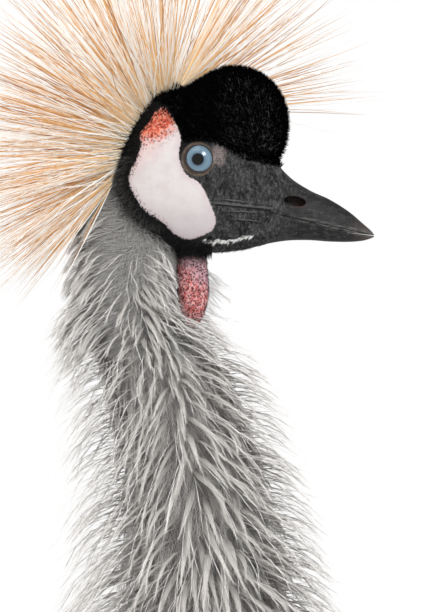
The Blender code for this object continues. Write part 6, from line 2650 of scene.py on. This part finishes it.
@dataclass
class BodyPlumage:
    """Slate contour feathers on the breast, belly and rump, and on the thighs."""

    rows: int = 30
    in_row: int = 46
    length: float = 0.13
    width: float = 17.0
    seed: int = 41

    def build(self) -> None:
        """Makes and dresses the feathers of the trunk and thighs."""
        rng = np.random.default_rng(self.seed)
        slate = PlumeFinish("slate contour feathers", (0.13, 0.135, 0.14),
                            (0.26, 0.265, 0.27), (0.10, 0.10, 0.10)).build()
        trunk = self._trunk(rng).to_object("body_plumage")
        finish_piece(trunk, slate, ("torso",))
        for side in Side:
            word = side.name.lower()
            thigh = self._thigh(side, rng).to_object(f"thigh_plumage_{word}")
            finish_piece(thigh, slate, (f"thigh_{word}",))

    def _trunk(self, rng: np.random.Generator) -> Shape:
        """Feathers over the trunk, left out where the folded wings lie on it.

        Args:
            rng: where draws come from.

        Returns:
            The feathers, as one shape.
        """
        share = np.repeat(np.linspace(0.04, 0.93, self.rows), self.in_row)
        step = np.tile(np.arange(self.in_row), self.rows)
        odd = np.repeat(np.arange(self.rows) % 2, self.in_row)
        angle = 2 * math.pi * (step + 0.5 * odd) / self.in_row
        angle = angle + rng.normal(0, 0.02, len(angle))
        share = share + rng.normal(0, 0.006, len(angle))
        turn = np.abs((np.degrees(angle) + 180) % 360 - 180)
        keep = ~((turn > 16) & (turn < 96) & (share > 0.22) & (share < 0.72))
        share, angle = np.clip(share[keep], 0.02, 0.95), angle[keep]
        return self._laid(TORSO, share, angle, self.length, self.width, rng)

    @staticmethod
    def _laid(form: Sweep, share: np.ndarray, angle: np.ndarray, length: float, width: float,
              rng: np.random.Generator) -> Shape:
        """Feathers laid back along a swept form.

        Args:
            form: the form.
            share: places of the roots along it.
            angle: directions of the roots round it, in radians.
            length: their length, as a share of the form.
            width: their width, in millimetres.
            rng: where draws come from.

        Returns:
            The feathers, as one shape.
        """
        places, count = 5, len(share)
        t = np.linspace(0, 1, places)
        lengths = length * rng.uniform(0.85, 1.1, count)
        at = np.clip(share[:, None] + lengths[:, None] * t, 0, 1)
        turn = angle[:, None] + rng.normal(0, 0.05, count)[:, None] * t
        height = 0.6 + 4.2 * t + rng.uniform(-0.4, 0.6, count)[:, None]
        height[:, 0] = -1.5
        paths = form.point(at.ravel(), turn.ravel(), height.ravel()).reshape(count, places, 3)
        tail = unit(paths[:, 2] - paths[:, 1]) * column(lengths * 0.30)
        for k in range(2, places):
            stuck = at[:, k] >= 1
            paths[stuck, k] = paths[stuck, k - 1] + tail[stuck] * 0.25
        out = form.outward(at[:, :-1].ravel(), turn[:, :-1].ravel())
        widths = width * MM * np.outer(rng.uniform(0.85, 1.1, count), (0.5, 0.95, 1.0, 0.7))
        marks = {"tint": rng.uniform(0, 1, count)}
        marks.update(patch(angle, share))
        return vanes(paths, out.reshape(count, places - 1, 3), widths, marks, crown=0.2, thick=0.4)

    @staticmethod
    def _thigh(side: Side, rng: np.random.Generator) -> Shape:
        """Feathers down one thigh to its end above the hock.

        Args:
            side: the side of the bird.
            rng: where draws come from.

        Returns:
            The feathers, as one shape.
        """
        limb, rows, in_row, places = Limb(THIGH_STATIONS, side), 17, 20, 5
        share = np.repeat(np.linspace(0.10, 0.93, rows), in_row)
        step = np.tile(np.arange(in_row), rows) + 0.5 * np.repeat(np.arange(rows) % 2, in_row)
        turn = 2 * math.pi * step / in_row + rng.normal(0, 0.03, len(share))
        count = len(share)
        t = np.linspace(0, 1, places)
        reach = np.interp(share, (0, 0.5, 1), (0.17, 0.15, 0.10)) * rng.uniform(0.85, 1.1, count)
        at = share[:, None] + reach[:, None] * t
        height = 0.4 + 2.4 * t + rng.uniform(-0.3, 0.4, count)[:, None]
        height[:, 0] = -1.2
        paths = limb.point(np.clip(at, 0, 1).ravel(), np.repeat(turn, places), height.ravel())
        paths = paths.reshape(count, places, 3)
        paths[:, :, 2] -= np.maximum(at - 1, 0) * 0.19
        out = np.repeat(limb.outward(turn)[:, None], places - 1, 1)
        widths = np.interp(share, (0, 1), (15, 7))[:, None] * MM * np.array((0.5, 0.95, 1.0, 0.7))
        marks = {"tint": rng.uniform(0, 1, count)}
        marks.update(patch(turn, share))
        return vanes(paths, out, widths, marks, crown=0.2, thick=0.35)


@dataclass
class Tail:
    """The folded black tail."""

    feathers: int = 13
    length: float = 0.150
    width: float = 0.024
    root: tuple = (-284, 0, -498)
    heading: tuple = (-0.80, 0.0, -0.60)
    seed: int = 53

    def build(self) -> None:
        """Makes and dresses the tail's feathers."""
        rng = np.random.default_rng(self.seed)
        count, places = self.feathers, 8
        heading = unit(np.array(self.heading))
        up = np.array((-0.60, 0.0, 0.80))
        spread = np.linspace(-1, 1, count)
        aim = unit(heading + np.outer(spread, (0, 0.13, 0)))
        stack = (1.1 * 3 * (1 - np.abs(spread)) - 2) * MM
        root = place(self.root) + np.outer(spread, (0, 0.009, 0)) + np.outer(stack, up)
        end = unit(aim + np.array((0, 0, -0.12)))
        length = (self.length - 0.012 * np.abs(spread)) * rng.uniform(0.97, 1.02, count)
        paths = bent_paths(root, aim, end, length, places - 1)
        lean = np.where(spread <= 0, 1.0, -1.0)
        ups = unit(up - np.outer(lean, np.cross(heading, up)) * 0.06)
        ups = np.repeat(ups[:, None], places - 1, 1)
        widths = self.width * np.outer(np.ones(count), (0.4, 0.62, 0.82, 0.95, 1.0, 1.0, 0.85))
        marks = {"tint": rng.uniform(0, 1, count)}
        marks.update(patch(spread + 3, np.full(count, 0.95)))
        shape = vanes(paths, ups, widths, marks, crown=0.14, thick=0.6)
        piece = shape.to_object("tail_feathers")
        finish = PlumeFinish("black tail feathers", (0.016, 0.016, 0.018),
                             (0.010, 0.010, 0.012), (0.06, 0.055, 0.05), rough=0.5).build()
        finish_piece(piece, finish, ("tail",))


class ToeName(Enum):
    """The four toes: heading outwards from straight ahead, length and root radius."""

    INNER = (-36.0, 66.0, 5.4)
    MIDDLE = (4.0, 86.0, 5.8)
    OUTER = (42.0, 70.0, 5.4)
    HIND = (176.0, 36.0, 4.2)


@dataclass
class Leg:
    """One bare leg: shank, hock, scuted tarsus, and the foot with its claws.

    Radii are a share of the tarsus and its reach ahead and aside, in millimetres.
    """

    side: Side
    scutes: int = 26
    voxel: float = 0.0009
    claw_length: float = 10.5
    top: tuple = (-147.2, 48.4, -753.0)
    foot: tuple = (-112.0, 50.0, -944.0)
    radii: tuple = ((0.0, 9.4, 8.8), (0.06, 7.4, 6.4), (0.2, 5.8, 4.9), (0.5, 5.4, 4.5),
                    (0.8, 5.6, 4.8), (0.93, 6.6, 6.2), (1.0, 6.4, 7.0))

    def build(self, scale: bpy.types.Material, horn: bpy.types.Material) -> None:
        """Makes and dresses the leg's skin, its scutes and its claws.

        Args:
            scale: the finish of the skin and scutes.
            horn: the finish of the claws.
        """
        word = self.side.name.lower()
        parts = [lofted(Limb(SHANK_STATIONS, self.side).grid(60, 28)).to_object("shank"),
                 lofted(self._tarsus().grid(80, 28)).to_object("tarsus"),
                 ball(self._foot_middle(), (9.0, 9.0, 9.0)).to_object("knuckle")]
        claws = None
        for toe in ToeName:
            parts.append(lofted(self._toe(toe)).to_object("toe"))
            claw = lofted(self._claw(toe))
            claws = claws.joined(claw) if claws else claw
        skin = remeshed(merged(parts, f"leg_skin_{word}"), self.voxel, 2)
        for vertex in skin.data.vertices:
            vertex.co.z = max(vertex.co.z, 0.0)
        skin.name = skin.data.name = f"leg_skin_{word}"
        nodes = [f"shank_{word}", f"tarsus_{word}"]
        nodes += [f"toe_{toe.name.lower()}_{word}" for toe in ToeName]
        skin.data.shade_smooth()
        finish_piece(skin, scale, tuple(nodes))
        finish_piece(self._scutes(scale, word), scale)
        nails = claws.to_object(f"claws_{word}")
        finish_piece(nails, horn, tuple(f"claw_{toe.name.lower()}_{word}"
                                                for toe in ToeName))

    def _tarsus(self) -> Limb:
        """The tarsus as a limb with even stations.

        Returns:
            The limb.
        """
        t = np.linspace(0, 1, 21)
        at, ahead, out = zip(*self.radii)
        line = np.array(self.top) + np.outer(t, np.array(self.foot) - np.array(self.top))
        rows = np.column_stack((line, np.interp(t, at, ahead), np.interp(t, at, out)))
        return Limb(tuple(map(tuple, rows)), self.side)

    def _foot_middle(self) -> tuple:
        """The middle of the knuckle that the toes spread from, in millimetres."""
        return (self.foot[0], self.side.value * self.foot[1], self.foot[2] - 1.0)

    def _way(self, toe: ToeName) -> tuple:
        """A toe's level heading, the direction across it, and its root.

        Args:
            toe: the toe.

        Returns:
            The three, with the root in metres.
        """
        turn = math.radians(toe.value[0]) * self.side.value
        way = np.array((math.cos(turn), math.sin(turn), 0.0))
        across = np.array((-way[1], way[0], 0.0))
        foot = place((self.foot[0], self.side.value * self.foot[1], 0.0))
        return way, across, np.array((foot[0], foot[1], 0.0)) + way * 3 * MM

    def _toe(self, toe: ToeName) -> np.ndarray:
        """Rings of one toe, its pads flat on the floor and its joints creased.

        Args:
            toe: the toe.

        Returns:
            The rings' points, in metres.
        """
        _, length, radius = toe.value
        way, across, start = self._way(toe)
        steps, around = 54, 24
        angle = circle(around)
        rings = []
        for t in np.linspace(0, 1, steps + 1):
            r = radius * (1 - 0.42 * t) * (1.02 + 0.11 * math.cos(2 * math.pi * 3 * t))
            r *= math.sqrt(max(1 - (max(t - 0.9, 0) / 0.1) ** 2 * 0.75, 0.05))
            lift = 3.5 * max(0.0, 1 - 3 * t) ** 2
            centre = start + way * (length * t * MM) + UP * (r * 0.86 + lift) * MM
            ring = (centre + np.outer(r * MM * np.cos(angle), across)
                    + np.outer(r * MM * np.sin(angle), UP))
            ring[:, 2] = np.maximum(ring[:, 2], 0.0)
            rings.append(ring)
        return np.array(rings)

    def _claw(self, toe: ToeName) -> np.ndarray:
        """Rings of one claw, curved down to its point.

        Args:
            toe: the toe that it ends.

        Returns:
            The rings' points, in metres.
        """
        way, across, start = self._way(toe)
        root = start + way * (toe.value[1] - 3.4) * MM
        angle = circle(16)
        rings = []
        for t in np.linspace(0, 1, 15):
            r = 2.5 * (1 - t) ** 0.8 + 0.3
            centre = root + way * (3.6 + self.claw_length) * t * MM
            centre[2] = (3.9 - 2.2 * t * t - 1.1 * t) * MM
            ring = (centre + np.outer(r * 0.8 * MM * np.cos(angle), across)
                    + np.outer(r * MM * np.sin(angle), UP))
            ring[:, 2] = np.maximum(ring[:, 2], 0.0)
            rings.append(ring)
        return np.array(rings)

    def _scutes(self, material: bpy.types.Material, word: str) -> bpy.types.Object:
        """Broad overlapping plates down the front of the tarsus, set by a pattern.

        Args:
            material: the plates' finish.
            word: the side, as a word in the name.

        Returns:
            The plates, as one object.
        """
        limb = self._tarsus()
        share = np.linspace(0.07, 0.93, self.scutes)
        front = limb.point(share, np.zeros(self.scutes), 0.15)
        widths = curve_through(limb.stations, share)[:, 4] * MM
        mesh = bpy.data.meshes.new("scute line")
        mesh.from_pydata(front.tolist(), [], [])
        store(mesh, "reach", widths)
        carrier = in_scene("scute line", mesh)
        fall = np.array(self.foot) - np.array(self.top)
        lean = math.atan2(-fall[0], -fall[2])
        tree = Pattern(f"scutes_{word}", {"Plate": self._plate(), "Lean": lean,
                                          "Material": material})
        reach = tree.node("GeometryNodeInputNamedAttribute", {"data_type": "FLOAT"},
                          {"Name": "reach"})
        turn = tree.node("ShaderNodeCombineXYZ", None, {"Y": tree.given["Lean"]})
        points = tree.node("GeometryNodeMeshToPoints", None, {0: tree.given["Geometry"]})
        what = tree.node("GeometryNodeObjectInfo", None, {"Object": tree.given["Plate"]})
        copies = tree.node("GeometryNodeInstanceOnPoints", None,
                           {"Points": points.outputs[0], "Instance": what.outputs["Geometry"],
                            "Rotation": turn.outputs[0], "Scale": reach.outputs[0]})
        tree.close(copies.outputs[0])
        piece = tree.run(carrier, f"scutes_{word}")
        piece.data.shade_smooth()
        return piece

    @staticmethod
    def _plate() -> bpy.types.Object:
        """One scute for a limb of radius 1, wrapped round its front, closed and rounded.

        Returns:
            The plate, which isn't in the scene.
        """
        rows, cols = 9, 15
        turn = np.radians(np.linspace(-66, 66, cols))
        outer, inner = [], []
        for s in np.linspace(-1, 1, rows):
            high = 0.12 * (1 - s ** 4) + 0.05 * (1 - s)
            edge = 1 - (np.abs(turn) / math.radians(66)) ** 4
            reach = 0.98 + high * edge
            z = np.full(cols, s * 0.68) - 0.10 * np.cos(turn)
            outer.append(np.stack((reach * np.cos(turn) - 1.0, reach * np.sin(turn), z), 1))
            inner.append(np.stack((0.80 * np.cos(turn) - 1.0, 0.80 * np.sin(turn), z), 1))
        rings = np.concatenate((np.array(outer), np.array(inner)[:, ::-1]), 1)
        shape = lofted(rings)
        plate = shape.to_object("plate")
        bpy.context.scene.collection.objects.unlink(plate)
        return plate


@dataclass
class Studio:
    """The photograph's camera, soft lights, a white surround and a pale floor."""

    aim: tuple = (0.1846, 0.0, 0.8796)
    distance: float = 1.6
    lens: float = 181.0
    floor_radius: float = 1.4
    ambient: float = 0.66
    lights: tuple = (("key", (0.80, -1.25, 1.62), 0.45, 12.0),
                     ("front", (-0.10, -1.25, 2.55), 1.2, 8.0),
                     ("back", (-0.6, 1.3, 1.7), 0.9, 13.0),
                     ("left", (-1.3, -0.5, 1.1), 0.9, 8.5))

    def build(self) -> None:
        """Sets up the studio."""
        scene = bpy.context.scene
        data = bpy.data.cameras.new("camera")
        data.lens, data.sensor_width = self.lens, 36.0
        data.clip_end = 20.0
        camera = bpy.data.objects.new("camera", data)
        camera.location = Vector(self.aim) - Vector((0, self.distance, 0))
        camera.rotation_euler = (math.radians(90), 0, 0)
        scene.collection.objects.link(camera)
        scene.camera = camera
        scene.view_settings.view_transform = "Standard"
        for light in self.lights:
            self._light(*light)
        self._surround()
        self._floor()

    def _light(self, name: str, at: tuple, size: float, power: float) -> None:
        """Adds a soft light that faces the head.

        Args:
            name: the light's name.
            at: its place, in metres.
            size: its width, in metres.
            power: its power, in watts.
        """
        data = bpy.data.lights.new(name, "AREA")
        data.shape, data.size, data.energy = "DISK", size, power
        light = bpy.data.objects.new(name, data)
        light.location = at
        light.rotation_euler = (Vector(self.aim) - Vector(at)).to_track_quat("-Z", "Y").to_euler()
        bpy.context.scene.collection.objects.link(light)

    def _surround(self) -> None:
        """A plain white world, a little dimmer as a light than as a backdrop."""
        world = bpy.data.worlds.new("surround")
        world.use_nodes = True
        tree = Tree(world.node_tree)
        backdrop = world.node_tree.nodes["Background"]
        tree.feed(backdrop.inputs[0], (1.0, 1.0, 1.0))
        seen = tree.node("ShaderNodeLightPath").outputs["Is Camera Ray"]
        level = tree.node("ShaderNodeMath", {"operation": "MULTIPLY_ADD"},
                          {0: seen, 1: 1 - self.ambient, 2: self.ambient})
        tree.feed(backdrop.inputs[1], level.outputs[0])
        bpy.context.scene.world = world

    def _floor(self) -> None:
        """A pale round floor, which the camera looks over."""
        turn = circle(64)
        ring = np.stack((np.cos(turn), np.sin(turn), 0 * turn), 1) * self.floor_radius
        mesh = bpy.data.meshes.new("studio_floor")
        mesh.from_pydata((ring - UP * 0.0002).tolist(), [], [tuple(range(64))])
        mesh.materials.append(FloorFinish().build())
        in_scene("studio_floor", mesh)


def main() -> None:
    """Builds the crane's pieces in order, then the studio."""
    logging.basicConfig(level=logging.INFO, format="%(name)s: %(message)s")
    Studio().build()
    skin = Skin().build()
    Bill().build()
    Eyes().build()
    Velvet().build(skin)
    FaceFeathers().build(skin)
    ChinTufts().build()
    Crown().build()
    NeckPlumage().build()
    BodyPlumage().build()
    Wings().build()
    Tail().build()
    scale, horn = ScaleFinish().build(), ClawFinish().build()
    for side in Side:
        Leg(side).build(scale, horn)


if __name__ == "__main__":
    main()
